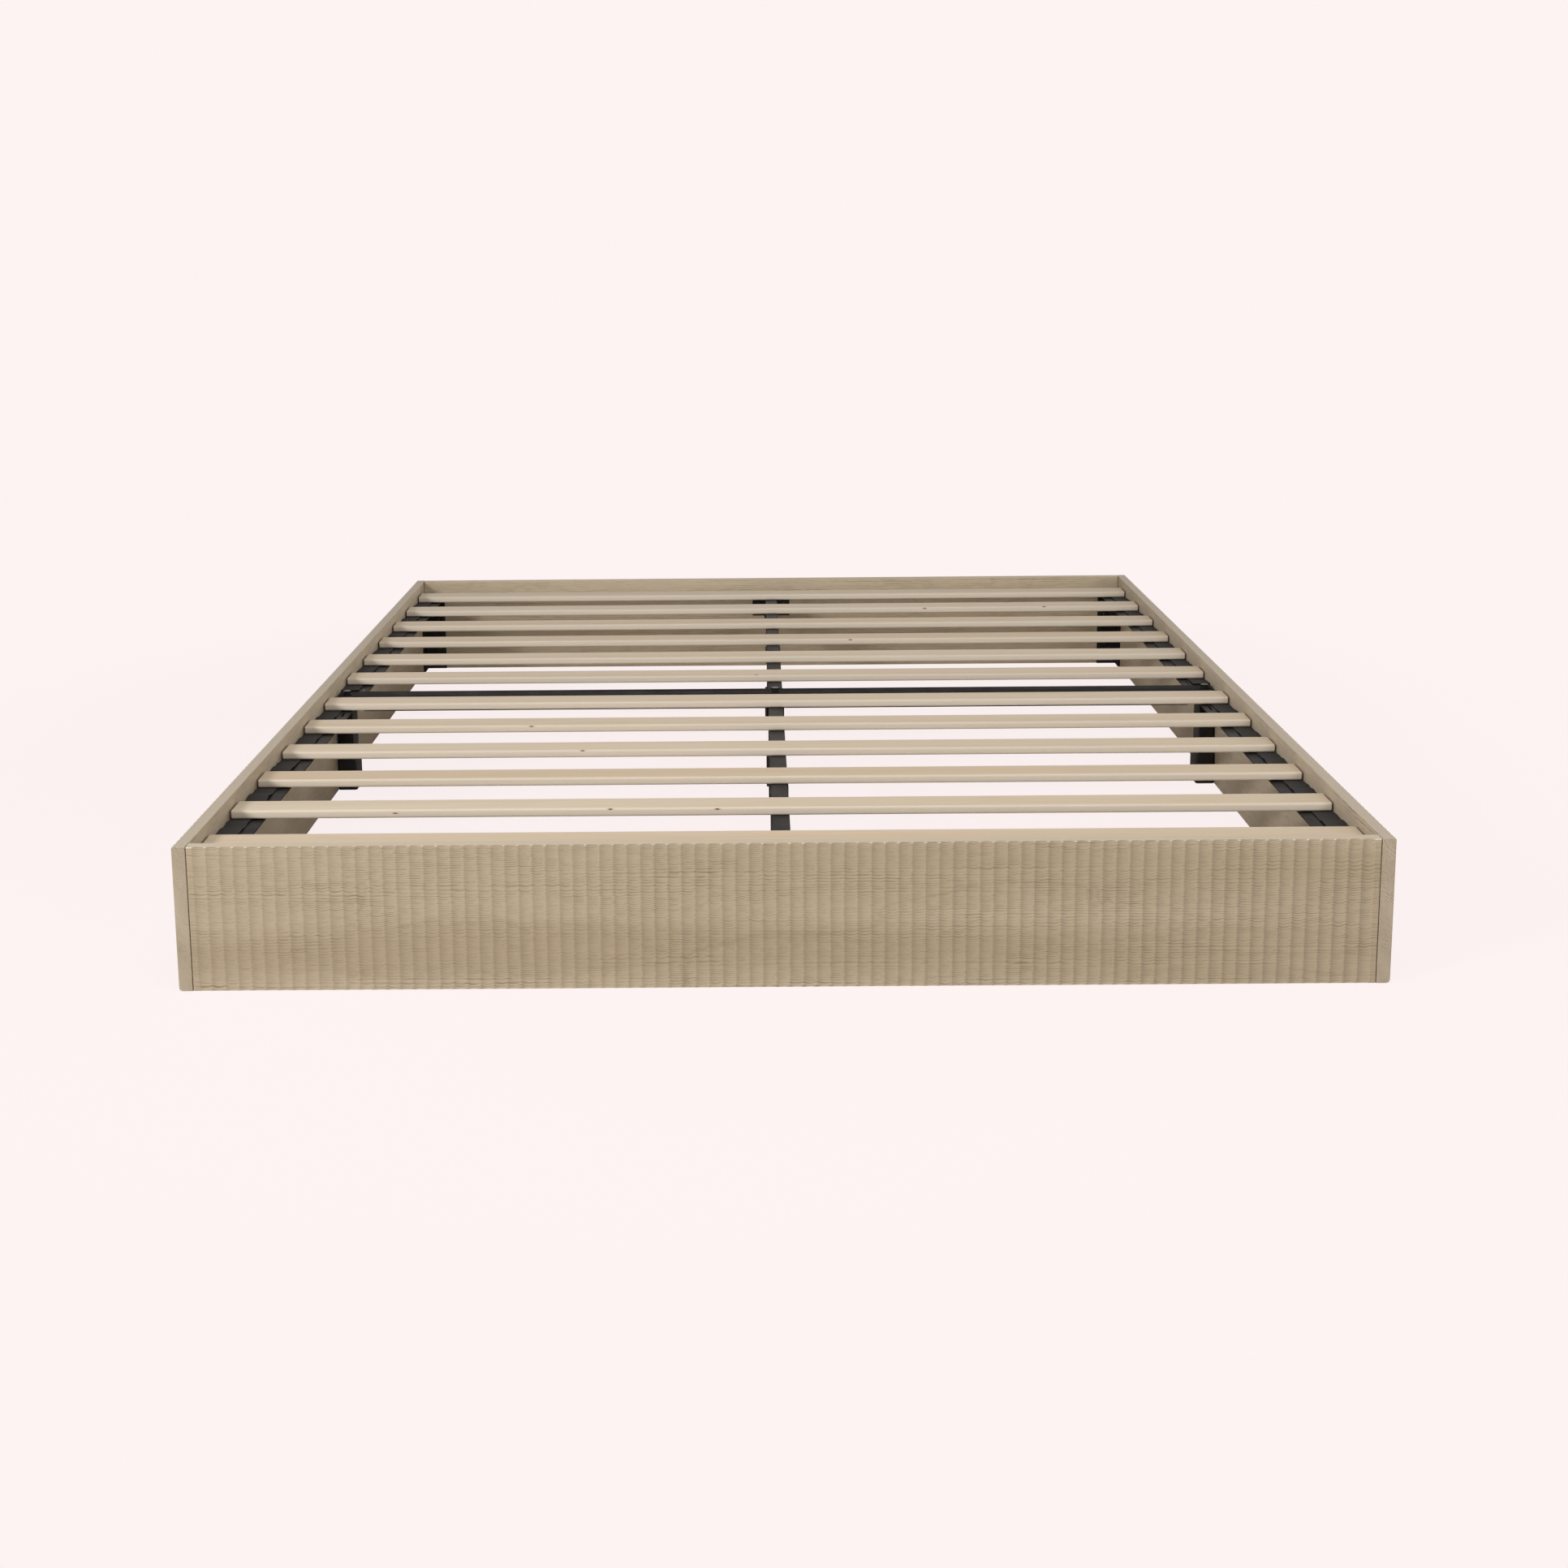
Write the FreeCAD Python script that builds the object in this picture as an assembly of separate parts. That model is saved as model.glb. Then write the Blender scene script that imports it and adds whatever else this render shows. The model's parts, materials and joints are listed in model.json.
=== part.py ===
import FreeCAD, Part
import math
import os

# Low slatted bed: four fluted panels stand on the floor around a steel frame,
# which carries twelve wooden slats in two rolls that lift out.
# Millimetres, +Z up. The origin is on the floor under the middle of the bed.
# The foot end faces -Y and the head end +Y. Left is -X, as seen from the foot end.

Vector = FreeCAD.Vector
up = Vector(0, 0, 1)
os.makedirs("parts", exist_ok=True)

# Overall size
bed_width = 1575.0
bed_length = 2070.0
panel_height = 195.0
panel_thickness = 18.0
seam_gap = 0.8              # between the foot or head panel's end and the side panel

# Flutes on the outer faces
flute_pitch = 17.5
flute_land = 1.5            # flat ridge left between two flutes
flute_depth = 1.2
flute_end_margin = 4.0      # least plain strip at each end of a panel
inner_bevel = 1.0           # along the inner top edge
end_ease = 1.0              # on the upright outer edges

# Slats and their webbing
slats_per_roll = 6
slat_width = 53.0
slat_thickness = 12.5
slat_edge_radius = 5.0      # on the two long top edges
slat_under_bevel = 2.0      # on the two long bottom edges
slat_end_gap = 3.0          # between a slat's end and the side panel
slat_drop = 17.0            # from the panels' top edge down to the slats' top face
first_slat_offset = 103.0   # from the middle of the bed to the nearest slat's centre
end_slat_margin = 74.0      # from the end panel's inner face to the last slat's centre
webbing_width = 30.0
webbing_thickness = 2.0
webbing_side_gap = 0.8      # between the webbing and the side panel
webbing_tail = 6.0          # webbing that stands past the last slat
webbing_bar_gap = 3.0       # between the webbing's end and the cross bar

# Slat rails: steel angles on the side panels
rail_flange = 48.5
rail_web = 40.0
rail_wall = 2.0
rail_end_gap = 1.0
rail_slot_width = 4.0
rail_slot_length = 30.0
rail_slot_inset = 11.5      # from the flange's free edge to the slots' middle
rail_slot_offsets = (50.0, 150.0)
rail_bolts_per_side = 4
rail_bolt_margin = 90.0     # from the post to the first bolt

# Rectangular steel tube, used for the centre rails, the cross bar and the legs
tube_long = 50.0
tube_short = 25.0
tube_wall = 1.5
tube_corner = 1.5           # flat on each outer corner
lap_thickness = 2.0         # end plates of the cross bar, which lie on the rails
lap_reach = 4.0             # between the lap plate's end and the side panel
lap_root = 30.0             # length of lap plate that is welded to the tube
tube_end_gap = 1.0

# Sockets that the centre rails drop into
socket_wall = 2.0
socket_depth = 36.0
socket_clearance = 0.3
socket_wing = 26.0
pocket_height = 44.0        # side walls of the cross bar's two pockets

# Corner posts
post_leg = 45.0
post_wall = 2.5
post_bolt_inset = 28.0
post_bolt_heights = (45.0, 110.0)
shoe_base = 3.0
shoe_height = 12.0
shoe_lip = 2.0
shoe_clearance = 0.2

# Legs and boots
leg_panel_gap = 4.0         # between a mid leg and the side panel
leg_plate = 3.0
nut_width = 13.0
nut_height = 6.5
boot_wall = 3.5
boot_base = 4.0
boot_height = 54.0
boot_edge = 2.5
boot_clearance = 0.2
saddle_height = 22.0

# Fasteners. Their round parts and holes have few sides, because there are many of them.
small_bolt = 6.0
small_bolt_sides = 6
small_head_width = 10.0     # hexagon, across the flats
small_head_height = 4.0
insert_diameter = 10.0
insert_skin = 3.0           # wood left between an insert's hole and the flutes
bolt_tip_gap = 1.0
large_bolt = 8.0
large_bolt_sides = 8
large_head_width = 13.0     # hexagon, across the flats
large_head_height = 5.3
washer_diameter = 16.0
washer_sides = 12
washer_thickness = 1.6
hole_clearance = 0.2        # radial, round a bolt in steel
thread_clearance = 0.05     # radial, round a bolt in its thread
bolt_run_out = 2.0          # bolt that stands past its nut

# Derived planes and places
half_width = bed_width / 2
half_length = bed_length / 2
inner_x = half_width - panel_thickness
inner_y = half_length - panel_thickness
slat_top = panel_height - slat_drop
slat_bottom = slat_top - slat_thickness
rail_top = slat_bottom - webbing_thickness
rail_underside = rail_top - rail_wall
cross_bar_top = rail_top + lap_thickness
cross_bar_bottom = cross_bar_top - tube_short
centre_rail_bottom = slat_bottom - tube_long
mid_leg_x = inner_x - leg_panel_gap - tube_short / 2
insert_length = panel_thickness - flute_depth - insert_skin
socket_half = tube_short / 2 + socket_clearance
last_slat_offset = inner_y - end_slat_margin
slat_step = (last_slat_offset - first_slat_offset) / (slats_per_roll - 1)
webbing_middle_x = inner_x - webbing_side_gap - webbing_width / 2
webbing_start = tube_long / 2 + webbing_bar_gap
webbing_end = last_slat_offset + slat_width / 2 + webbing_tail
centre_rail_start = tube_long / 2 + tube_end_gap
centre_rail_end = inner_y - socket_wall - tube_end_gap
centre_leg_y = (centre_rail_start + centre_rail_end) / 2


# ---- Small helpers ----

def box(low, high):
    size = [b - a for a, b in zip(low, high)]
    return Part.makeBox(size[0], size[1], size[2], Vector(*low))


def prism(points, direction):
    """A flat outline through the points, pushed along the direction."""
    corners = [Vector(*point) for point in points]
    face = Part.Face(Part.makePolygon(corners + [corners[0]]))
    return face.extrude(Vector(*direction))


def mirrored_x(shape):
    return shape.mirror(Vector(0, 0, 0), Vector(1, 0, 0))


def mirrored_y(shape):
    return shape.mirror(Vector(0, 0, 0), Vector(0, 1, 0))


def four_ways(shape):
    """The shape and its three mirror images about the bed's two middle planes."""
    pair = [shape, mirrored_x(shape)]
    return pair + [mirrored_y(piece) for piece in pair]


def many_sided(sides, width, length, base, direction):
    """Bar from the base along the direction; its width is across its flats."""
    reach = width / 2 / math.cos(math.pi / sides)
    turn = FreeCAD.Rotation(Vector(0, 0, 1), direction)
    points = []
    for index in range(sides):
        angle = 2 * math.pi * index / sides
        spoke = Vector(reach * math.cos(angle), reach * math.sin(angle), 0)
        points.append(base + turn.multVec(spoke))
    return prism(points, direction * length)


def blunt_block(width, depth, height, cut):
    """Block round the origin, up from z = 0, with its four upright edges cut flat."""
    x, y = width / 2, depth / 2
    corner = [(x, y - cut, 0), (x - cut, y, 0)]
    left = [(-px, py, 0) for px, py, pz in reversed(corner)]
    below = [(px, -py, 0) for px, py, pz in reversed(corner + left)]
    return prism(corner + left + below, (0, 0, height))


def tube(width, depth, length):
    """Rectangular steel tube from the origin up +Z."""
    x, y = width / 2 - tube_wall, depth / 2 - tube_wall
    return blunt_block(width, depth, length, tube_corner).cut(box((-x, -y, 0), (x, y, length)))


# ---- Fastener places ----
# A site is a point on a panel's inner face and the direction into the panel.

def post_sites_on_foot():
    x = inner_x - post_bolt_inset
    return [(Vector(side * x, -inner_y, z), Vector(0, -1, 0))
            for side in (-1, 1) for z in post_bolt_heights]


def post_sites_on_left():
    y = inner_y - post_bolt_inset
    return [(Vector(-inner_x, side * y, z), Vector(-1, 0, 0))
            for side in (-1, 1) for z in post_bolt_heights]


def rail_sites_on_left():
    reach = inner_y - post_leg - rail_bolt_margin
    step = 2 * reach / (rail_bolts_per_side - 1)
    z = rail_underside - (rail_web - rail_wall) / 2
    return [(Vector(-inner_x, -reach + i * step, z), Vector(-1, 0, 0))
            for i in range(rail_bolts_per_side)]


def socket_sites_on_foot():
    x = socket_half + socket_wall + socket_wing / 2
    z = (centre_rail_bottom + rail_underside) / 2
    return [(Vector(side * x, -inner_y, z), Vector(0, -1, 0)) for side in (-1, 1)]


def insert_hole(site):
    point, direction = site
    return many_sided(small_bolt_sides, insert_diameter, insert_length, point, direction)


def steel_hole(site):
    """Clearance hole through whatever steel lies on the panel at this site."""
    point, direction = site
    width, reach = small_bolt + 2 * hole_clearance, 2 * post_wall
    return many_sided(small_bolt_sides, width, reach, point - direction * reach, direction)


def insert(site):
    """Threaded sleeve, flush with the panel's inner face."""
    point, direction = site
    width = small_bolt + 2 * thread_clearance
    bore = many_sided(small_bolt_sides, width, insert_length, point, direction)
    return insert_hole(site).cut(bore)


def panel_bolt(site, plate):
    """Hex bolt through a steel plate into the panel's insert."""
    point, direction = site
    seat = point - direction * plate
    shank_length = plate + insert_length - bolt_tip_gap
    shank = many_sided(small_bolt_sides, small_bolt, shank_length, seat, direction)
    head = many_sided(6, small_head_width, small_head_height,
                      seat - direction * small_head_height, direction)
    return head.fuse(shank)


# ---- Fluted panels ----

def fluted_outline(length):
    """A panel's plan outline: flutes along y = 0, plain face at y = thickness."""
    half = length / 2
    count = int((length - 2 * flute_end_margin) // flute_pitch)
    first = -count * flute_pitch / 2
    points = [Vector(-half, end_ease, 0), Vector(-half + end_ease, 0, 0)]
    edges = [Part.LineSegment(*points)]
    cursor = points[-1]
    for index in range(count):
        left = Vector(first + index * flute_pitch + flute_land / 2, 0, 0)
        right = left + Vector(flute_pitch - flute_land, 0, 0)
        middle = (left + right) / 2 + Vector(0, flute_depth, 0)
        edges.append(Part.LineSegment(cursor, left))
        edges.append(Part.Arc(left, middle, right))
        cursor = right
    corners = [Vector(half - end_ease, 0, 0), Vector(half, end_ease, 0),
               Vector(half, panel_thickness, 0), Vector(-half, panel_thickness, 0), points[0]]
    for corner in corners:
        edges.append(Part.LineSegment(cursor, corner))
        cursor = corner
    return Part.Face(Part.Wire([edge.toShape() for edge in edges]))


def fluted_panel(length):
    """A panel along X with its outer face on y = 0 and its foot on z = 0."""
    board = fluted_outline(length).extrude(Vector(0, 0, panel_height))
    end, back, top = length / 2 + 1, panel_thickness, panel_height
    bevel = prism([(-end, back - inner_bevel, top), (-end, back, top), (-end, back, top - inner_bevel)],
                  (2 * end, 0, 0))
    return board.cut(bevel)


def foot_panel():
    board = fluted_panel(2 * (inner_x - seam_gap))
    board.translate(Vector(0, -half_length, 0))
    sites = post_sites_on_foot() + socket_sites_on_foot()
    return board.cut([insert_hole(site) for site in sites])


def left_side_panel():
    board = fluted_panel(bed_length)
    board.rotate(Vector(0, 0, 0), Vector(0, 0, 1), -90)
    board.translate(Vector(-half_width, 0, 0))
    sites = post_sites_on_left() + rail_sites_on_left()
    return board.cut([insert_hole(site) for site in sites])


# ---- Steel frame ----

def left_slat_rail():
    """Steel angle: flange on top, web down the panel, cut back at both ends for the posts."""
    half = inner_y - rail_end_gap
    web_half = inner_y - post_leg - rail_end_gap
    flange = box((-inner_x, -half, rail_underside), (-inner_x + rail_flange, half, rail_top))
    web = box((-inner_x, -web_half, rail_top - rail_web), (-inner_x + rail_wall, web_half, rail_top))
    slot_x = -inner_x + rail_flange - rail_slot_inset
    cuts = [steel_hole(site) for site in rail_sites_on_left()]
    for offset in rail_slot_offsets:
        cuts += [rail_slot(slot_x, offset), rail_slot(slot_x, -offset)]
    cuts.append(large_hole(-mid_leg_x, rail_underside, rail_top))
    return flange.fuse(web).removeSplitter().cut(cuts)


def rail_slot(x, y):
    half_x, half_y = rail_slot_width / 2, rail_slot_length / 2
    return box((x - half_x, y - half_y, rail_underside), (x + half_x, y + half_y, rail_top))


def cross_bar():
    """Flat tube with a lap plate at each end and a pocket for each centre rail."""
    half = inner_x - rail_flange - tube_end_gap
    lap_end = inner_x - lap_reach
    bar = tube(tube_short, tube_long, 2 * half)
    bar.rotate(Vector(0, 0, 0), Vector(0, 1, 0), 90)
    bar.translate(Vector(-half, 0, (cross_bar_top + cross_bar_bottom) / 2))
    plate_y = tube_long / 2 - tube_corner
    plate = box((-lap_end, -plate_y, rail_top), (-half + lap_root, plate_y, cross_bar_top))
    pocket = centre_pocket()
    bar = bar.fuse([plate, mirrored_x(plate), pocket, mirrored_y(pocket)])
    holes = [large_hole(x, cross_bar_bottom, cross_bar_top) for x in (-mid_leg_x, 0, mid_leg_x)]
    return bar.removeSplitter().cut(holes)


def centre_pocket():
    """U-shaped seat, welded to the cross bar's rear face, for the rear centre rail's end."""
    side = socket_half + socket_wall
    start, end = tube_long / 2, tube_long / 2 + socket_depth
    low = centre_rail_bottom - socket_wall
    outer = box((-side, start, low), (side, end, low + pocket_height))
    hollow = box((-socket_half, start - 1, centre_rail_bottom), (socket_half, end + 1, slat_bottom))
    return outer.cut(hollow)


def rear_centre_rail():
    rail = tube(tube_short, tube_long, centre_rail_end - centre_rail_start)
    rail.rotate(Vector(0, 0, 0), Vector(1, 0, 0), -90)
    rail.translate(Vector(0, centre_rail_start, slat_bottom - tube_long / 2))
    return rail


def foot_socket():
    """Wide back plate on the foot panel with a U-shaped seat for the centre rail."""
    side = socket_half + socket_wall
    low = centre_rail_bottom - socket_wall
    back = -inner_y + socket_wall
    plate = box((-side - socket_wing, -inner_y, low), (side + socket_wing, back, rail_underside))
    seat = box((-side, -inner_y, low), (side, -inner_y + socket_depth, rail_underside))
    hollow = box((-socket_half, back, centre_rail_bottom), (socket_half, 0, slat_bottom))
    bracket = plate.fuse(seat).cut(hollow).removeSplitter()
    return bracket.cut([steel_hole(site) for site in socket_sites_on_foot()])


def angle_plan(corner, leg, wall, low, height):
    """Upright angle with its corner at the given place, opening towards +X and +Y."""
    x, y = corner
    points = [(x, y, low), (x + leg, y, low), (x + leg, y + wall, low),
              (x + wall, y + wall, low), (x + wall, y + leg, low), (x, y + leg, low)]
    return prism(points, (0, 0, height))


def foot_left_post():
    corner = (-inner_x, -inner_y)
    post = angle_plan(corner, post_leg, post_wall, shoe_base, rail_underside - shoe_base)
    sites = [site for site in post_sites_on_foot() + post_sites_on_left()
             if site[0].x < 0 and site[0].y < 0]
    return post.cut([steel_hole(site) for site in sites])


def foot_left_shoe():
    """Moulded L-shaped shoe: a base under the post and a lip along its inner faces."""
    corner = (-inner_x, -inner_y)
    whole = angle_plan(corner, post_leg, post_wall + shoe_clearance + shoe_lip, 0, shoe_height)
    room = angle_plan(corner, post_leg, post_wall + shoe_clearance, shoe_base, shoe_height)
    return whole.cut(room)


def leg(x, y, top):
    """Tube leg with a plate and a welded nut in its top."""
    low = boot_base
    body = tube(tube_short, tube_long, top - low)
    body.translate(Vector(x, y, low))
    plate_x, plate_y = tube_short / 2 - tube_wall, tube_long / 2 - tube_wall
    plate = box((x - plate_x, y - plate_y, top - leg_plate), (x + plate_x, y + plate_y, top))
    nut = many_sided(6, nut_width, nut_height, Vector(x, y, top - leg_plate - nut_height), up)
    return body.fuse([plate, nut]).removeSplitter()


def bolted_leg(x, top):
    length = leg_plate + nut_height
    bore = many_sided(large_bolt_sides, large_bolt + 2 * thread_clearance, length,
                      Vector(x, 0, top - length), up)
    return leg(x, 0, top).cut(bore)


def rear_centre_leg():
    """Leg with two ears that hold the centre rail from both sides."""
    top = centre_rail_bottom
    ear_y = tube_long / 2 - tube_corner
    ears = box((-socket_half - socket_wall, centre_leg_y - ear_y, top - leg_plate),
               (socket_half + socket_wall, centre_leg_y + ear_y, top + saddle_height))
    room = box((-socket_half, centre_leg_y - tube_long, top),
               (socket_half, centre_leg_y + tube_long, top + 2 * saddle_height))
    body = tube(tube_short, tube_long, top - boot_base - leg_plate / 2)
    body.translate(Vector(0, centre_leg_y, boot_base))
    return body.fuse(ears.cut(room)).removeSplitter()


def boot(x, y):
    """Moulded boot round the bottom of a leg, with its upright and top edges eased."""
    half_x = tube_short / 2 + boot_clearance + boot_wall
    half_y = tube_long / 2 + boot_clearance + boot_wall
    outer = blunt_block(2 * half_x, 2 * half_y, boot_height, boot_edge)
    rim = [edge for edge in outer.Edges if edge.BoundBox.ZMin > boot_height - 0.01]
    outer = outer.makeChamfer(boot_edge * 0.6, rim)
    hollow = box((-half_x + boot_wall, -half_y + boot_wall, boot_base),
                 (half_x - boot_wall, half_y - boot_wall, boot_height))
    shell = outer.cut(hollow)
    shell.translate(Vector(x, y, 0))
    return shell


# ---- Slat rolls ----

def slat(y):
    half_length = inner_x - slat_end_gap
    lath = box((-half_length, y - slat_width / 2, slat_bottom),
               (half_length, y + slat_width / 2, slat_top))
    long_edges = [edge for edge in lath.Edges if edge.Length > half_length]
    upper = [edge for edge in long_edges if edge.CenterOfMass.z > slat_top - 0.01]
    lath = lath.makeFillet(slat_edge_radius, upper)
    lower = [edge for edge in lath.Edges
             if edge.Length > half_length and edge.CenterOfMass.z < slat_bottom + 0.01]
    return lath.makeChamfer(slat_under_bevel, lower)


def front_slat_ys():
    """Slat centres from the foot end to the middle."""
    return [-last_slat_offset + i * slat_step for i in range(slats_per_roll)]


def front_left_webbing():
    low_x = -webbing_middle_x - webbing_width / 2
    return box((low_x, -webbing_end, rail_top), (low_x + webbing_width, -webbing_start, slat_bottom))


# ---- Large bolts ----

def large_hole(x, low, high):
    """Upright clearance hole for a large bolt on the bed's cross line."""
    width = large_bolt + 2 * hole_clearance
    return many_sided(large_bolt_sides, width, high - low, Vector(x, 0, low), up)


def large_bolt_at(x, grip):
    """Hex bolt through the cross bar; grip is all that it clamps below its washer."""
    seat = cross_bar_top + washer_thickness
    length = washer_thickness + grip + leg_plate + nut_height + bolt_run_out
    head = many_sided(6, large_head_width, large_head_height, Vector(x, 0, seat), up)
    shank = many_sided(large_bolt_sides, large_bolt, length, Vector(x, 0, seat - length), up)
    return head.fuse(shank)


def washer_at(x):
    base = Vector(x, 0, cross_bar_top)
    disc = many_sided(washer_sides, washer_diameter, washer_thickness, base, up)
    return disc.cut(large_hole(x, cross_bar_top, cross_bar_top + washer_thickness))


# ---- Write the pieces ----

def save(name, shape):
    pieces = shape if isinstance(shape, list) else [shape]
    solids = [solid for piece in pieces for solid in piece.Solids]
    group = solids[0] if len(solids) == 1 else Part.makeCompound(solids)
    group.exportStep("parts/" + name + ".step")
    print(name, len(solids), "solid" if len(solids) == 1 else "solids",
          "valid" if group.isValid() else "NOT VALID", round(sum(s.Volume for s in solids)), "mm3")


def save_panels():
    foot = foot_panel()
    side = left_side_panel()
    save("foot_panel", foot)
    save("head_panel", mirrored_y(foot))
    save("left_side_panel", side)
    save("right_side_panel", mirrored_x(side))


def save_frame():
    rail = left_slat_rail()
    save("left_slat_rail", rail)
    save("right_slat_rail", mirrored_x(rail))
    save("cross_bar", cross_bar())
    centre = rear_centre_rail()
    save("rear_centre_rail", centre)
    save("front_centre_rail", mirrored_y(centre))
    socket = foot_socket()
    save("foot_socket", socket)
    save("head_socket", mirrored_y(socket))
    corner_names = ("foot_left", "foot_right", "head_left", "head_right")
    for name, post in zip(corner_names, four_ways(foot_left_post())):
        save(name + "_post", post)
    for name, shoe in zip(corner_names, four_ways(foot_left_shoe())):
        save(name + "_shoe", shoe)


def save_legs():
    save("left_mid_leg", bolted_leg(-mid_leg_x, rail_underside))
    save("right_mid_leg", bolted_leg(mid_leg_x, rail_underside))
    save("middle_centre_leg", bolted_leg(0, cross_bar_bottom))
    save("rear_centre_leg", rear_centre_leg())
    save("front_centre_leg", mirrored_y(rear_centre_leg()))
    save("left_mid_boot", boot(-mid_leg_x, 0))
    save("right_mid_boot", boot(mid_leg_x, 0))
    save("middle_centre_boot", boot(0, 0))
    save("rear_centre_boot", boot(0, centre_leg_y))
    save("front_centre_boot", boot(0, -centre_leg_y))


def save_rolls():
    for number, y in enumerate(front_slat_ys(), 1):
        save("front_slat_%d" % number, slat(y))
        save("rear_slat_%d" % (slats_per_roll + 1 - number), slat(-y))
    webbing = front_left_webbing()
    names = ("front_left", "front_right", "rear_left", "rear_right")
    for name, strip in zip(names, four_ways(webbing)):
        save(name + "_webbing", strip)


def save_fasteners():
    post_sites = post_sites_on_foot() + post_sites_on_left()
    rail_sites = rail_sites_on_left()
    socket_sites = socket_sites_on_foot()
    corner = [site for site in post_sites if site[0].x < 0 and site[0].y < 0]
    corner_bolts = []
    for site in corner:
        corner_bolts += four_ways(panel_bolt(site, post_wall))
    save("corner_bolts", corner_bolts)
    left_bolts = [panel_bolt(site, rail_wall) for site in rail_sites]
    save("rail_bolts", left_bolts + [mirrored_x(bolt) for bolt in left_bolts])
    foot_bolts = [panel_bolt(site, socket_wall) for site in socket_sites]
    save("socket_bolts", foot_bolts + [mirrored_y(bolt) for bolt in foot_bolts])
    inserts = []
    for site in corner:
        inserts += four_ways(insert(site))
    left_inserts = [insert(site) for site in rail_sites]
    foot_inserts = [insert(site) for site in socket_sites]
    inserts += left_inserts + [mirrored_x(piece) for piece in left_inserts]
    inserts += foot_inserts + [mirrored_y(piece) for piece in foot_inserts]
    save("panel_inserts", inserts)
    end_grip = lap_thickness + rail_wall
    end_bolt = large_bolt_at(-mid_leg_x, end_grip)
    save("cross_bar_end_bolts", [end_bolt, mirrored_x(end_bolt)])
    save("centre_bolt", large_bolt_at(0, tube_short))
    save("cross_bar_washers", [washer_at(x) for x in (-mid_leg_x, 0, mid_leg_x)])


save_panels()
save_frame()
save_legs()
save_rolls()
save_fasteners()
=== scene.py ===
# %% [markdown]
# # A low slatted bed with fluted panels
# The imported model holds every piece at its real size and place, and this script gives the pieces
# their looks. Four fluted boards stand round a black steel frame, and twelve pale slats lie on it in
# two rolls that lift out. Everything is in metres, with +Z up and the foot end towards -Y.

# %% Load the frame
import bmesh
import bpy
import json
import math
from mathutils import Matrix, Vector

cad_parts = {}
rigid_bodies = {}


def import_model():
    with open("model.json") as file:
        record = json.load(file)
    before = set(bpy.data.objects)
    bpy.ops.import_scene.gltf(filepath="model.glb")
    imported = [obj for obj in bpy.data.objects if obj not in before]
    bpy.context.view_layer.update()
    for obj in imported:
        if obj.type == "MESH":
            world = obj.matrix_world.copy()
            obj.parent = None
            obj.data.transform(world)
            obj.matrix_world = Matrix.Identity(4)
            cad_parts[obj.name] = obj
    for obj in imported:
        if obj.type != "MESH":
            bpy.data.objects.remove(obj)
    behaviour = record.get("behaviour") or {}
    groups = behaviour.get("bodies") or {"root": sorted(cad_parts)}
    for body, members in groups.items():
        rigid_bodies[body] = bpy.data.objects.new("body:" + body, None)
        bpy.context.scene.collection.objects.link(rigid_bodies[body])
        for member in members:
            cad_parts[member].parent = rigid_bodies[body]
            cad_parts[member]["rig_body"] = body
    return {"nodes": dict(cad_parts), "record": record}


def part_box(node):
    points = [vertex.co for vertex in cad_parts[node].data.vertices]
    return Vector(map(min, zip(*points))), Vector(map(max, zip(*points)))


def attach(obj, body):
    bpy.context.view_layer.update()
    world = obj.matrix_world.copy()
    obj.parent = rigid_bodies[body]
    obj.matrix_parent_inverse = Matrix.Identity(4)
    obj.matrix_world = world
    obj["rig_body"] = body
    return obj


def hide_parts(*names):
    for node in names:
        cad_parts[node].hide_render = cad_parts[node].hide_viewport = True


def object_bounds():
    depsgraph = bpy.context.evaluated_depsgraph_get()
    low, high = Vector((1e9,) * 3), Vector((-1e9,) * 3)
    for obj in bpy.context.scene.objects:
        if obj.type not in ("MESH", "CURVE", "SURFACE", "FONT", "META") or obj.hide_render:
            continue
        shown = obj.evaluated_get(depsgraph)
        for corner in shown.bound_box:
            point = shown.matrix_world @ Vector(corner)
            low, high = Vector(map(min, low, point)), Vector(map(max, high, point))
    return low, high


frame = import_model()
cad_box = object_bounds()
box_low, box_high = cad_box
MM = 0.001


# %% [markdown]
# ## Helpers
# A node tree is a list of small steps. `add` makes a node, sets it and links it, and hands back its
# output as a `Value`. Plain arithmetic on values adds the math nodes that work it out, so a formula
# in a tree reads like any other formula.

# %% Values, and the function that adds a node
def operator(operation, swapped=False):
    """A method that adds the math node of one arithmetic sign."""
    return lambda *values: calc(operation, *(reversed(values) if swapped else values))


class Value:
    """A node's output, which can stand in a formula."""
    __add__, __sub__, __mul__ = operator("ADD"), operator("SUBTRACT"), operator("MULTIPLY")
    __truediv__, __mod__, __abs__ = operator("DIVIDE"), operator("FLOORED_MODULO"), operator("ABSOLUTE")
    __rsub__ = operator("SUBTRACT", swapped=True)

    def __init__(self, socket):
        self.socket = socket
        self.tree = socket.id_data


def add(tree, kind, inputs=(), out=0, **settings):
    """Adds a node. `out` is the output that is wanted, or a tuple of outputs."""
    node = tree.nodes.new(kind)
    for name, value in settings.items():
        setattr(node, name, value)
    for socket, value in dict(inputs).items():
        if isinstance(value, Value):
            tree.links.new(value.socket, node.inputs[socket])
        else:
            node.inputs[socket].default_value = value
    if isinstance(out, tuple):
        return [Value(node.outputs[name]) for name in out]
    return Value(node.outputs[out])


def tree_of(values):
    return next(value.tree for value in values if isinstance(value, Value))


def calc(operation, *values):
    """A math node on values and plain numbers."""
    return add(tree_of(values), "ShaderNodeMath", dict(enumerate(values)), operation=operation)


def clamp(value, low, high):
    return calc("MINIMUM", calc("MAXIMUM", value, low), high)


def spread(value, low, high, start=0.0, end=1.0):
    """Maps a value from low..high to start..end, and holds it at both ends."""
    return add(value.tree, "ShaderNodeMapRange", {0: value, 1: low, 2: high, 3: start, 4: end})


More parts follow.
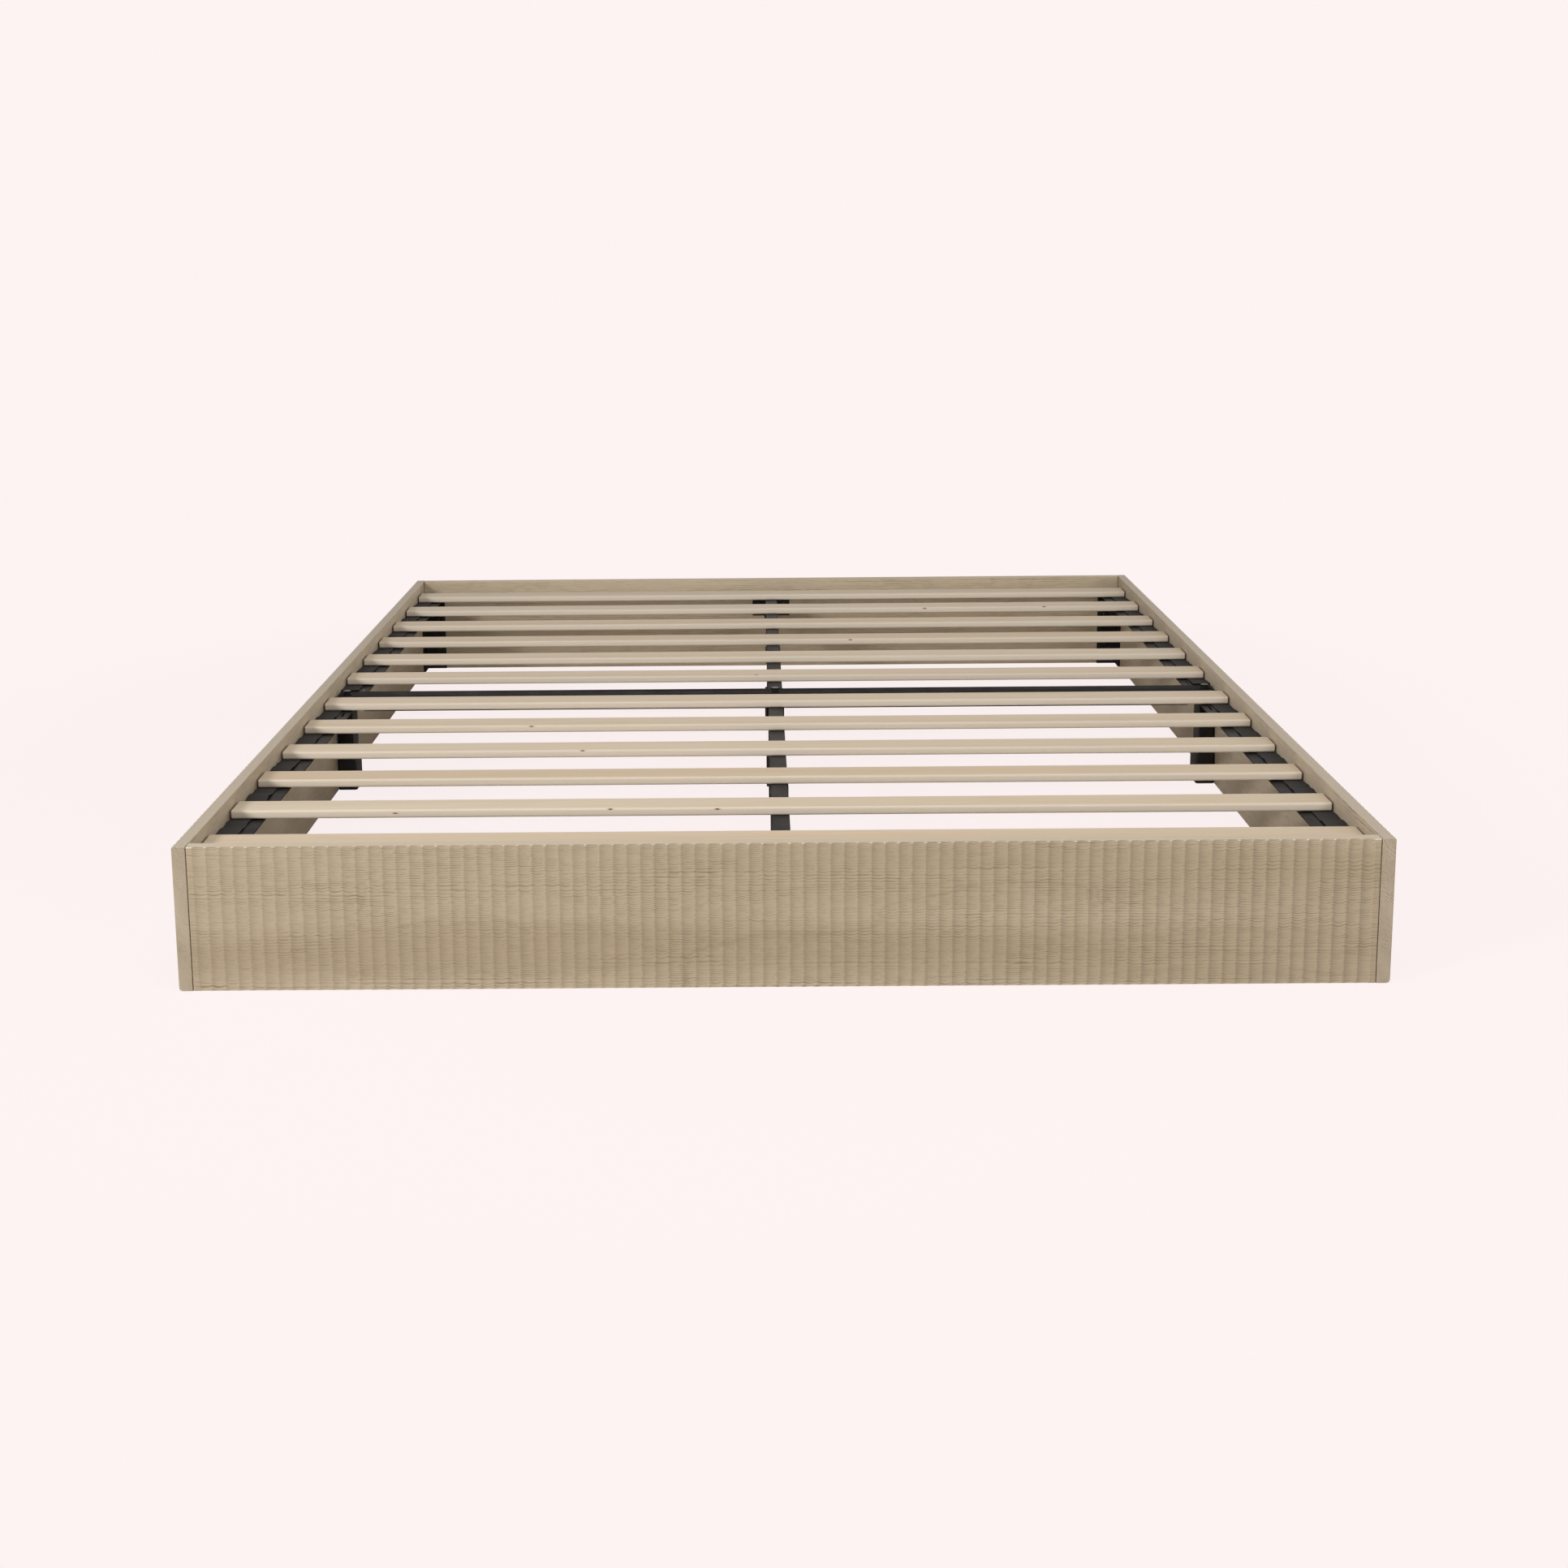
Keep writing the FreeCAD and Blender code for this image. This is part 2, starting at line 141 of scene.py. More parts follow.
def combine(x=0.0, y=0.0, z=0.0):
    return add(tree_of((x, y, z)), "ShaderNodeCombineXYZ", {"X": x, "Y": y, "Z": z})


def split(vector):
    return add(vector.tree, "ShaderNodeSeparateXYZ", {0: vector}, out=("X", "Y", "Z"))


def noise(vector, scale, detail=2.0, roughness=0.5):
    """Cloudy values round 0.5, with `scale` clouds to a metre."""
    inputs = {"Vector": vector, "Scale": scale, "Detail": detail, "Roughness": roughness}
    return add(vector.tree, "ShaderNodeTexNoise", inputs, out="Fac")


def wave(value, length):
    return calc("SINE", value * (2 * math.pi / length))


def new_object(name, data):
    """A new object at the origin, linked into the scene."""
    thing = bpy.data.objects.new(name, data)
    bpy.context.scene.collection.objects.link(thing)
    return thing


# %% [markdown]
# ## The camera
# The photograph was taken with a long lens from behind the foot end, a little above the bed. The
# camera below is the one that a fit to the panels' corners gives. Its shift moves the picture
# without turning the camera, so that upright edges keep the photograph's slight lean.

# %% Place the camera
IMAGE_SIDE = 1932
FOCAL_PIXELS = 2668
VANISHING_CENTRE = (917, 765)    # the pixel that the camera points at
SENSOR = 36.0
CAMERA_PLACE = Vector((-0.030, -3.716, 0.987))
yaw, dip, tilt = (math.radians(angle) for angle in (0.36, 10.60, 0.52))

forward = Vector((-math.sin(yaw) * math.cos(dip), math.cos(yaw) * math.cos(dip), -math.sin(dip)))
level = Vector((math.cos(yaw), math.sin(yaw), 0))
down = forward.cross(level)
right = level * math.cos(tilt) + down * math.sin(tilt)
upward = level * math.sin(tilt) - down * math.cos(tilt)
turn = Matrix((right, upward, -forward)).transposed()

camera = new_object("camera", bpy.data.cameras.new("camera"))
camera.matrix_world = Matrix.Translation(CAMERA_PLACE) @ turn.to_4x4()
camera.data.sensor_width = SENSOR
camera.data.lens = FOCAL_PIXELS / IMAGE_SIDE * SENSOR
camera.data.shift_x = (IMAGE_SIDE / 2 - VANISHING_CENTRE[0]) / IMAGE_SIDE
camera.data.shift_y = (VANISHING_CENTRE[1] - IMAGE_SIDE / 2) / IMAGE_SIDE
bpy.context.scene.camera = camera
print("lens", round(camera.data.lens, 2), "mm")


# %% [markdown]
# ## Wood
# The panels are board with a pale greige veneer, matt lacquered. Its grain runs along the board and
# shows as fine wavy lines, with a few long soft arches where the growth rings come to the surface.
# Wood is built from the same few steps each time: stretch the coordinates along the grain, bend
# them a little with a slow noise, and read fine noise for the lines and slow noise for the tone.

# %% The steps that the materials share
def paint(hex_colour):
    """An sRGB hex colour as the linear RGBA that a shader works in."""
    channels = [int(hex_colour[i:i + 2], 16) / 255 for i in (1, 3, 5)]
    linear = [c / 12.92 if c <= 0.04045 else ((c + 0.055) / 1.055) ** 2.4 for c in channels]
    return (*linear, 1.0)


def new_material(name, roughness, **shader_inputs):
    material = bpy.data.materials.new(name)
    material.use_nodes = True
    shader = material.node_tree.nodes["Principled BSDF"]
    for socket, value in {"Roughness": roughness, **shader_inputs}.items():
        shader.inputs[socket.replace("_", " ")].default_value = value
    return material, shader


def connect(shader, **values):
    for socket, value in values.items():
        value.tree.links.new(value.socket, shader.inputs[socket.replace("_", " ")])


def tint(share, below, above):
    """Mixes two colours, each a hex colour or a value."""
    below, above = (paint(tone) if isinstance(tone, str) else tone for tone in (below, above))
    return add(share.tree, "ShaderNodeMix", {"Factor": share, "A": below, "B": above}, out="Result",
               data_type="RGBA", blend_type="MIX")


def object_place(tree):
    return add(tree, "ShaderNodeTexCoord", out="Object")


def stored(tree, name, out="Fac"):
    """What the geometry has stored under a name."""
    return add(tree, "ShaderNodeAttribute", out=out, attribute_name=name)


def scaled(vector, x, y, z):
    return add(vector.tree, "ShaderNodeVectorMath", {0: vector, 1: (x, y, z)}, operation="MULTIPLY")


def bumped(height, strength, distance):
    inputs = {"Strength": strength, "Distance": distance, "Height": height}
    return add(height.tree, "ShaderNodeBump", inputs)


def grain_space(tree, along, stretch, lean):
    """Object coordinates with the grain along X, squeezed so that noise comes out long.

    The growth layers lean back into the wood, so a line climbs where a cutter went deeper.
    """
    quarter = math.radians(90) if along == "Y" else 0.0
    turned = add(tree, "ShaderNodeMapping", {"Vector": object_place(tree), "Rotation": (0, 0, quarter)})
    x, y, z = split(turned)
    leaning = combine(x, y, y * lean + z)
    return leaning, scaled(leaning, 1 / stretch, 1, 1)


# %% The panels' veneer
# Of these tones, the edge tone is painted light on the top face, the ridge-tip tone is a painted highlight,
# the dark tone also paints shade on the top bevel, and the foot tone paints shade in the flutes' hollows at
# the foot. The side boards' painted top light and ridge-tip highlight are dimmer than the end boards'.
VENEER = {"light": "#c1b097", "dark": "#ad9b81", "line": "#84735b", "arch": "#8d7b64", "edge": "#c0b39e",
          "painted_tip_highlight": "#f0e8db", "foot": "#84745e"}
SIDE_VENEER = {"light": "#beae98", "dark": "#aa9a83", "line": "#877660", "arch": "#897862",
               "edge": "#b1a592", "painted_tip_highlight": "#dcd2c3", "foot": "#84745e"}
VENEER_STRETCH = 24
GRAIN_LINE = 3.4 * MM            # spacing of the fine lines
GRAIN_DRIFT = 26 * MM            # how far a slow noise bends the lines
GRAIN_RIPPLE = 2.4 * MM          # and a quick one
GRAIN_LEAN = 1.0                 # how far a growth layer climbs for each unit into the wood
PORE_SCALE = 700.0
ARCH_LENGTH = 700 * MM           # size of the slow figure along the board
ARCH_STEP = 0.11                 # one arch for each such step of the figure's value
ARCH_WIDTH = 0.004               # and how much of that value an arch takes up
TOP_LIGHT_DEPTH = 0.5 * MM             # how far down the top face's painted light reaches: the top is painted lighter than the board's sides, for the light from above


def veneer(name, along, tones):
    """Matt lacquered veneer: fine dark lines on a mottled ground, which gives a soft, dry look."""
    material, shader = new_material(name, 0.52, Specular_IOR_Level=0.3)
    tree = material.node_tree
    place, long_place = grain_space(tree, along, VENEER_STRETCH, GRAIN_LEAN)
    _, y, z = split(place)
    # Each noise has its clouds per metre, and then its detail and roughness where they matter.
    bent = noise(long_place, 26.0) * GRAIN_DRIFT + z + noise(place, 60.0, 1.0) * GRAIN_RIPPLE
    lines = spread(wave(bent, GRAIN_LINE), 0.25, 0.98)
    line_patch = spread(noise(scaled(place, 1, 3, 3), 8.0), 0.35, 0.68, 0.3, 1.0)
    dashes = spread(noise(scaled(place, 1, 6, 6), 34.0, 1.0), 0.42, 0.58, 0.35, 1.0)
    pores = noise(long_place, PORE_SCALE, 2.0, 0.6)
    figure = noise(scaled(place, 1, 5, 5), 1 / ARCH_LENGTH, 2.0, 0.35)
    arch = spread(calc("PINGPONG", figure, ARCH_STEP / 2), 0.0, ARCH_WIDTH, 1.0, 0.0)
    arch_patch = spread(noise(place, 5.0, 1.0), 0.42, 0.62, 0.0, 0.3)
    true_height = z - y * GRAIN_LEAN
    top = box_high.z
    # The top face is painted lighter, as painted light from above.
    painted_top_light = spread(true_height, top - TOP_LIGHT_DEPTH, top - 0.3 * TOP_LIGHT_DEPTH, 0.0, 0.75)
    uneven = spread(noise(place, 30.0, 1.0), 0.35, 0.55, 0.2, 1.0)
    colour = tint(spread(noise(long_place, 11.0, 3.0), 0.32, 0.68), tones["light"], tones["dark"])
    # Painted light and shade among the coats: the top face is painted lighter, the top bevel gets painted
    # shade, the ridge tips get a painted highlight, and the flutes' hollows at the foot get painted shade.
    coats = ((lines * (line_patch * dashes), "line"), (spread(pores, 0.5, 0.75, 0.0, 0.35), "line"),
             (arch * arch_patch, "arch"), (painted_top_light, "edge"), (stored(tree, "bevel") * 0.85, "dark"),
             (stored(tree, "tip") * uneven, "painted_tip_highlight"), (stored(tree, "run_out") * 0.8, "foot"))
    for share, tone in coats:
        colour = tint(share, colour, tones[tone])
    connect(shader, Base_Color=colour, Normal=bumped(lines * -0.4 + pores, 0.2, 0.2 * MM),
            Roughness=spread(pores, 0.3, 0.7, 0.48, 0.62))
    return material


veneer_across = veneer("greige_veneer_along_x", "X", VENEER)
veneer_lengthwise = veneer("greige_veneer_along_y", "Y", SIDE_VENEER)
print("veneer:", veneer_across.name, veneer_lengthwise.name)


# %% [markdown]
# ## Softwood slats
# The slats are planed pine or fir without lacquer: paler and warmer than the panels, with long
# growth lines and a few small dark knots. Each slat comes from another board, so each has its own
# tone and its own piece of the pattern, which it reads from an attribute that its geometry carries.

# %% The slats' softwood
# The edge tone is a painted highlight on the slats' rounded long edges. The end tone is end grain, with
# painted shade of the gap at the slats' ends.
PINE = {"pale": "#d0c0a8", "warm": "#c4af91", "line": "#b39b7e", "edge": "#d1c5b5", "knot": "#46342a",
        "ring": "#a47c60", "end": "#8c6a50"}
SLAT_STRETCH = 30
SLAT_LEAN = 0.6
SLAT_LINE = 4.5 * MM
TONE_SHIFT = 7.0                 # how far apart along the pattern two slats of different tone are
END_GRAIN_AND_GAP_SHADE = 0.6 * MM             # the darker band at a slat's end: end grain, with painted shade of the gap beside it
KNOT_CORE = 1.1 * MM
KNOT_RING = 2.2 * MM
KNOT_SQUEEZE = 0.32              # a knot is cut at a slant, so it is longer along the slat
KNOTS_PER_SLAT = 3


def softwood(half_length):
    """Planed bare pine: a dry sheen, soft lines along the slat, small knots, a painted highlight on the
    rounded edges, and darker end grain with painted gap shade.
    """
    material, shader = new_material("planed_pine", 0.5, Specular_IOR_Level=0.3)
    tree = material.node_tree
    long_place = grain_space(tree, "X", SLAT_STRETCH, SLAT_LEAN)[1]
    tone = stored(tree, "slat_tone")
    shift = combine(tone * TONE_SHIFT, 0.0, tone)
    moved = add(tree, "ShaderNodeVectorMath", {0: long_place, 1: shift}, operation="ADD")
    lines = noise(moved, 1 / SLAT_LINE, 2.0, 0.55)
    warmth = spread(noise(moved, 14.0) + tone * 0.3, 0.35, 0.95)
    lined = tint(spread(lines, 0.5, 0.75) * 0.35, tint(warmth, PINE["pale"], PINE["warm"]), PINE["line"])
    # The rounded long edges are painted paler, as a painted highlight.
    colour = tint(stored(tree, "rounding") * 0.7, lined, PINE["edge"])
    place = object_place(tree)
    for number in range(KNOTS_PER_SLAT):
        knot = stored(tree, "knot_%d" % number, "Vector")
        ends = {i: scaled(point, KNOT_SQUEEZE, 1, 1) for i, point in enumerate((place, knot))}
        gap = add(tree, "ShaderNodeVectorMath", ends, out="Value", operation="DISTANCE")
        ringed = tint(spread(gap, KNOT_CORE, KNOT_RING, 0.5, 0.0), colour, PINE["ring"])
        colour = tint(spread(gap, 0.6 * KNOT_CORE, KNOT_CORE, 1.0, 0.0), ringed, PINE["knot"])
    # The ends are darker, from end grain and from painted shade of the gap to the side board.
    end_share = spread(abs(split(place)[0]), half_length - END_GRAIN_AND_GAP_SHADE, half_length - END_GRAIN_AND_GAP_SHADE / 6, 0.0, 0.8)
    connect(shader, Base_Color=tint(end_share, colour, PINE["end"]),
            Normal=bumped(lines, 0.15, 0.2 * MM))
    return material


pine = softwood(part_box("front_slat_1")[1].x)
print("slats:", pine.name)


# %% [markdown]
# ## Steel, plastic and webbing
# The rails, posts and tubes are powder coated: paint baked from powder, satin black with a fine
# orange-peel. The bolts are black oxide, which is thinner and shows the steel's own gloss. The boots
# and shoes are moulded black plastic with a matt spark-eroded grain. The inserts are zinc plated.

# %% Coated and plated steel, and plastic
def mottled(name, colours, roughness, grain, bump_strength, bump_depth, **shader_inputs):
    """A fine, even finish: two close colours and a bump whose grain is a real size."""
    material, shader = new_material(name, roughness[0], **shader_inputs)
    place = object_place(material.node_tree)
    cloud = noise(place, 18.0, 3.0, 0.6)
    connect(shader, Base_Color=tint(spread(cloud, 0.35, 0.65), *colours),
            Roughness=spread(cloud, 0.3, 0.7, *roughness),
            Normal=bumped(noise(place, 1 / grain), bump_strength, bump_depth))
    return material


powder_coat = mottled("satin_black_powder_coat", ("#201f1d", "#171614"), (0.48, 0.6),
    1.6 * MM, 0.25, 0.1 * MM, Specular_IOR_Level=0.16)
# The cross bar's copy of the powder coat is matter, and its darker colour is painted shade.
matt_shaded_coat = mottled("matt_black_powder_coat_painted_shade", ("#1a1918", "#131211"), (0.6, 0.72),
    1.6 * MM, 0.3, 0.1 * MM, Specular_IOR_Level=0.04)
black_oxide = mottled("black_oxide_steel", ("#32312f", "#262524"), (0.28, 0.4),
    0.8 * MM, 0.1, 0.05 * MM, Metallic=0.7)
zinc_plate = mottled("zinc_plated_steel", ("#a5a7a4", "#8f918f"), (0.28, 0.42),
    0.8 * MM, 0.1, 0.05 * MM, Metallic=1.0)
moulded_plastic = mottled("moulded_black_plastic", ("#211f1e", "#1a1918"), (0.5, 0.62),
    0.9 * MM, 0.35, 0.1 * MM, Specular_IOR_Level=0.3)


# %% [markdown]
# Woven polypropylene webbing has its ribs across the strap, from the thick weft threads, and a slight
# shine along each rib. The weave is drawn in the bump and the colour, the shine along each rib is a
# painted highlight in the colour, and the strip's own folds are in its geometry.

# %% Webbing
RIB = 2.2 * MM
WARP = 1.4 * MM


def woven_webbing():
    """Woven polypropylene tape: dull black, with a painted highlight on the ribs' crests."""
    material, shader = new_material("woven_black_webbing", 0.65, Specular_IOR_Level=0.3)
    x, y, _ = split(object_place(material.node_tree))
    weave = wave(y, RIB) * 0.7 + wave(x, WARP) * 0.3
    # The ribs' lighter crests are a painted highlight.
    connect(shader, Base_Color=tint(spread(weave, -0.8, 0.9), "#131211", "#282523"),
            Normal=bumped(weave, 0.6, 0.4 * MM))
    return material


webbing_cloth = woven_webbing()
print("materials:", len(bpy.data.materials))


# %% [markdown]
# ## Geometry Nodes
# What follows a rule is made by a small tree of geometry nodes. Each tree is a group with named
# inputs for its sizes. The result is read out as a plain mesh, because the exported model holds
# meshes and not modifiers.

# %% Run a tree and keep its mesh
SOCKET_KINDS = {"Geometry": "Geometry", "Material": "Material", "Count": "Int", "Cuts": "Int",
                "Seed": "Int", "Sides": "Int"}


def new_tree(name, *sizes):
    """An empty geometry tree with a named input for each size, its start mesh and its sizes' values."""
    tree = bpy.data.node_groups.new(name, "GeometryNodeTree")
    for label in ("Geometry", *sizes, "Material"):
        kind = SOCKET_KINDS.get(label, "Float")
        tree.interface.new_socket(label, in_out="INPUT", socket_type="NodeSocket" + kind)
    tree.interface.new_socket("Geometry", in_out="OUTPUT", socket_type="NodeSocketGeometry")
    return (tree, *add(tree, "NodeGroupInput", out=("Geometry", *sizes)))


def close_tree(geometry):
    """Every tree ends in Realize Instances and Set Material."""
    tree = geometry.tree
    real = add(tree, "GeometryNodeRealizeInstances", {0: geometry})
    given = add(tree, "NodeGroupInput", out="Material")
    painted = add(tree, "GeometryNodeSetMaterial", {"Geometry": real, "Material": given})
    tree.links.new(painted.socket, tree.nodes.new("NodeGroupOutput").inputs[0])
    return tree


def run_tree(name, tree, start_mesh, sizes):
    """Runs the tree on a start mesh and returns an object that holds the result as a mesh."""
    maker = new_object(name + "_maker", start_mesh)
    modifier = maker.modifiers.new("made", "NODES")
    modifier.node_group = tree
    for item in tree.interface.items_tree:
        if item.in_out == "INPUT" and item.name in sizes:
            modifier[item.identifier] = sizes[item.name]
    evaluated = maker.evaluated_get(bpy.context.evaluated_depsgraph_get())
    mesh = bpy.data.meshes.new_from_object(evaluated)
    mesh.name = name
    bpy.data.objects.remove(maker)
    return new_object(name, mesh)


def outline_mesh(points):
    """A closed loop of edges in the XY plane, which a tree sweeps along X: local x is -Y, local y is -Z."""
    mesh = bpy.data.meshes.new("outline")
    count = len(points)
    mesh.from_pydata([(-y, -z, 0) for y, z in points], [(i, (i + 1) % count) for i in range(count)], [])
    return mesh


def crease(piece, degrees):
    """Smooth shading with sharp edges only where the surface turns by more than the angle."""
    piece.data.shade_smooth()
    piece.data.set_sharp_from_angle(angle=math.radians(degrees))
    print("%s: %d faces" % (piece.name, len(piece.data.polygons)))


# %% The steps that the trees share
def position(tree):
    return split(add(tree, "GeometryNodeInputPosition"))


def move_to(geometry, x=0.0, y=0.0, z=0.0):
    inputs = {"Geometry": geometry, "Position": combine(x, y, z)}
    return add(geometry.tree, "GeometryNodeSetPosition", inputs)


def to_curve(mesh):
    return add(mesh.tree, "GeometryNodeMeshToCurve", {0: mesh})


def path_through(tree, count, x, z=0.0):
    """A path through points whose places are worked out from their numbers."""
    line = add(tree, "GeometryNodeMeshLine", {"Count": count, "Offset": (0.001, 0, 0)})
    return to_curve(move_to(line, x, 0.0, z))


def along_row(tree, steps, end_steps):
    """For each point of a row: its step, and how far past either end it is, from -1 to 1."""
    number = add(tree, "GeometryNodeInputIndex") - end_steps
    inside = clamp(number, 0.0, steps)
    return inside, (number - inside) / end_steps


def sweep(path, section, caps=True):
    inputs = {"Curve": path, "Profile Curve": section, "Fill Caps": caps}
    return add(path.tree, "GeometryNodeCurveToMesh", inputs)


def store(geometry, name, value, domain="POINT"):
    inputs = {"Geometry": geometry, "Name": name, "Value": value}
    return add(geometry.tree, "GeometryNodeStoreNamedAttribute", inputs, data_type="FLOAT", domain=domain)


def copies(points, shape, **more):
    return add(points.tree, "GeometryNodeInstanceOnPoints", {"Points": points, "Instance": shape, **more})


def quarter_round(reach):
    """How far a rounding cuts in, as a share of its size, where 0 is its start and 1 is its end."""
    held = clamp(reach, 0.0, 1.0)
    return 1.0 - calc("SQRT", 1.0 - held * held)


# %% [markdown]
# ## Fluted boards
# A real board gets its flutes from a row of round-nosed cutters, and its edges are eased before it is
# veneered. The tree works the same way: it sweeps the board's upright section along its length,
# and then pushes every point inwards to where the cutters went. The deepest of the cutter, the top
# bevel, the foot bevel and the eased end wins, and that gives the scalloped edge without a boolean.

# %% Sizes of the boards
BOARD = {"Height": box_high.z - box_low.z, "Thickness": 18 * MM, "Pitch": 17.5 * MM, "Land": 1.2 * MM,
         "Depth": 1.8 * MM, "Top bevel": 2.2 * MM, "Foot in": 2.0 * MM, "Foot up": 2.0 * MM,
         "Ease": 1.2 * MM}
SIDE_EDGES = {"Top bevel": 3.0 * MM, "Foot in": 4.5 * MM, "Foot up": 7 * MM}
INNER_EASE = 1.0 * MM            # the small bevel along the top of a board's inner face
ROW_MARGIN = 8 * MM              # the least plain length at a board's two ends together
FLUTE_POWER = 2.1                # 2 would be a parabola: more makes the sides steeper, the bottom flatter
CUTS_PER_FLUTE = 12
END_CUTS = 6
BEVEL_ROWS = 6
FACE_ROWS = 4
EDGE_COLUMNS = 8


def board_section(height, thickness, top_bevel, foot_up):
    """The board's upright section, anticlockwise from the outer foot, with rows where the bevels are."""
    middle = height - foot_up - top_bevel
    up_the_face = [foot_up * i / BEVEL_ROWS for i in range(BEVEL_ROWS + 1)]
    up_the_face += [foot_up + middle * i / FACE_ROWS for i in range(1, FACE_ROWS + 1)]
    up_the_face += [height - top_bevel + top_bevel * i / BEVEL_ROWS for i in range(1, BEVEL_ROWS + 1)]
    outer = [(0.0, z) for z in reversed(up_the_face)]
    foot = [(thickness * i / EDGE_COLUMNS, 0.0) for i in range(1, EDGE_COLUMNS)]
    corner = 0.3 * INNER_EASE
    inner = [(thickness, 0.0), (thickness, height - INNER_EASE), (thickness - corner, height - corner),
             (thickness - INNER_EASE, height)]
    top = [((thickness - INNER_EASE) * i / EDGE_COLUMNS, height) for i in range(EDGE_COLUMNS - 1, 0, -1)]
    return outer + foot + inner + top


# %% The board tree
def board_tree():
    (tree, start, length, height, thickness, pitch, land, depth, top_bevel, foot_in, foot_up,
     ease) = new_tree("Fluted board", "Length", *BOARD)

    # How many flutes fit, and where the columns of points go: one on each ridge, eleven from edge to
    # edge of its flute, and a few at each end of the board.
    half = length * 0.5
    flutes = calc("FLOOR", (length - ROW_MARGIN) / pitch)
    steps = flutes * CUTS_PER_FLUTE
    inside, beyond = along_row(tree, steps, END_CUTS)
    whole = calc("FLOOR", inside / CUTS_PER_FLUTE)
    cut_number = inside - whole * CUTS_PER_FLUTE
    past_land = calc("GREATER_THAN", cut_number, 0.5) * land
    cut_step = (pitch - land) / (CUTS_PER_FLUTE - 2)
    in_pitch = past_land * 0.5 + calc("MAXIMUM", cut_number - 1.0, 0.0) * cut_step
    fluted_x = (whole - flutes * 0.5) * pitch + in_pitch
    half_row = flutes * pitch * 0.5
    near_end = 2.0 - abs(beyond)
    column = beyond * near_end * (half - half_row) + fluted_x
    board = sweep(path_through(tree, steps + (2 * END_CUTS + 1), column), to_curve(start))

    # The cutters: how deep each one reaches at a point of the swept board.
    x, y, z = position(tree)
    in_flute = (x + half_row) % pitch - pitch * 0.5
    share = abs(in_flute / ((pitch - land) * 0.5))
    hollow = (1.0 - calc("POWER", share, FLUTE_POWER)) * depth
    on_row = calc("LESS_THAN", abs(x), half_row)
    flute = calc("MAXIMUM", hollow, 0.0) * on_row
    top_cut = quarter_round((z - (height - top_bevel)) / top_bevel) * top_bevel
    foot_cut = quarter_round(1.0 - z / foot_up) * foot_in
    left = calc("MAXIMUM", ease - (half - abs(x)), 0.0)
    round_end = ease - calc("SQRT", ease * ease - left * left)
    low_z = round_end * 0.5
    cut = calc("MAXIMUM", calc("MAXIMUM", flute, top_cut), calc("MAXIMUM", foot_cut, round_end))
    new_y = calc("MINIMUM", calc("MAXIMUM", y, cut), thickness - low_z)
    new_z = calc("MAXIMUM", calc("MINIMUM", z, height - low_z), low_z)
    shaped = move_to(board, x, new_y, new_z)

    # Marks for painted light and shade: painted shade on the top bevel, a painted highlight where it cuts a
    # ridge's tip, and painted shade where a flute runs out below.
    on_face = calc("LESS_THAN", y, 0.5 * MM)
    bevel = spread(top_cut - flute, 0.0, 0.3 * MM) * on_face
    low_bevel = spread(top_cut, 0.5 * MM, 1.4 * MM, 1.0, 0.0)
    tip = bevel * (low_bevel * spread(flute, 0.1 * MM, 0.6 * MM, 1.0, 0.0))
    run_out = spread(z, 0.6 * MM, 1.4 * MM, 1.0, 0.0) * spread(flute, 0.5 * MM, 1.1 * MM) * on_face
    for name, value in (("bevel", bevel), ("tip", tip), ("run_out", run_out)):
        shaped = store(shaped, name, value)
    inputs = {"Geometry": shaped, "Distance": 0.01 * MM}
    return close_tree(add(tree, "GeometryNodeMergeByDistance", inputs))


fluted_board_tree = board_tree()
print("board tree:", len(fluted_board_tree.nodes), "nodes")


# %% [markdown]
# The board is made lying along X with its outer face towards -Y, and then its mesh is turned to each
# of the four sides. The object itself stays at the origin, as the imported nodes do.

# %% Make the four boards
def fluted_board(name, side_turn, sizes, material):
    low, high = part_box(name)
    across = high - low
    length, thickness = max(across.x, across.y), min(across.x, across.y)
    values = {**BOARD, **sizes, "Length": length, "Material": material}
    section = board_section(*(values[name] for name in ("Height", "Thickness", "Top bevel", "Foot up")))
    piece = run_tree(name + "_fluted", fluted_board_tree, outline_mesh(section), values)
    outward = Matrix.Rotation(math.radians(side_turn), 4, "Z")
    middle = (low + high) / 2
    shift = Vector((middle.x, middle.y, low.z)) + outward @ Vector((0, -1, 0)) * (thickness / 2)
    piece.data.transform(Matrix.Translation(shift) @ outward)
    crease(piece, degrees=14)
    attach(piece, "frame")
    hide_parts(name)


fluted_board("foot_panel", 0, {}, veneer_across)
fluted_board("head_panel", 180, {}, veneer_across)
fluted_board("left_side_panel", -90, SIDE_EDGES, veneer_lengthwise)
fluted_board("right_side_panel", 90, SIDE_EDGES, veneer_lengthwise)


# %% [markdown]
# ## Slats
# A slat is a planed lath whose four long edges are well rounded. One section is swept to a slat, and
# the slat is put on a row of points, six to a roll. Each copy stores its own random tone before the
# copies are made real, and the few knots are painted where the photograph shows them.

# %% Sizes and knots of the slats
SLATS_PER_ROLL = 6
SLAT_EDGE = 3.6 * MM
SLAT_END_EASE = 1.2 * MM
SLAT_CUTS = 40
CORNER_STEPS = 6
END_STEPS = 4
ROLL_SEEDS = {"front": 4, "rear": 9}
# For each slat with knots: where they are along it, and how far down its rounded front edge, in degrees
KNOTS = {"front_slat_5": [(-0.398, 65)], "front_slat_4": [(-0.302, 55)], "rear_slat_1": [(-0.033, 10)],
         "front_slat_2": [(-0.237, 60), (-0.088, 75), (-0.537, 120)], "rear_slat_3": [(0.150, 75)],
         "rear_slat_5": [(0.570, 50), (0.320, 80)]}


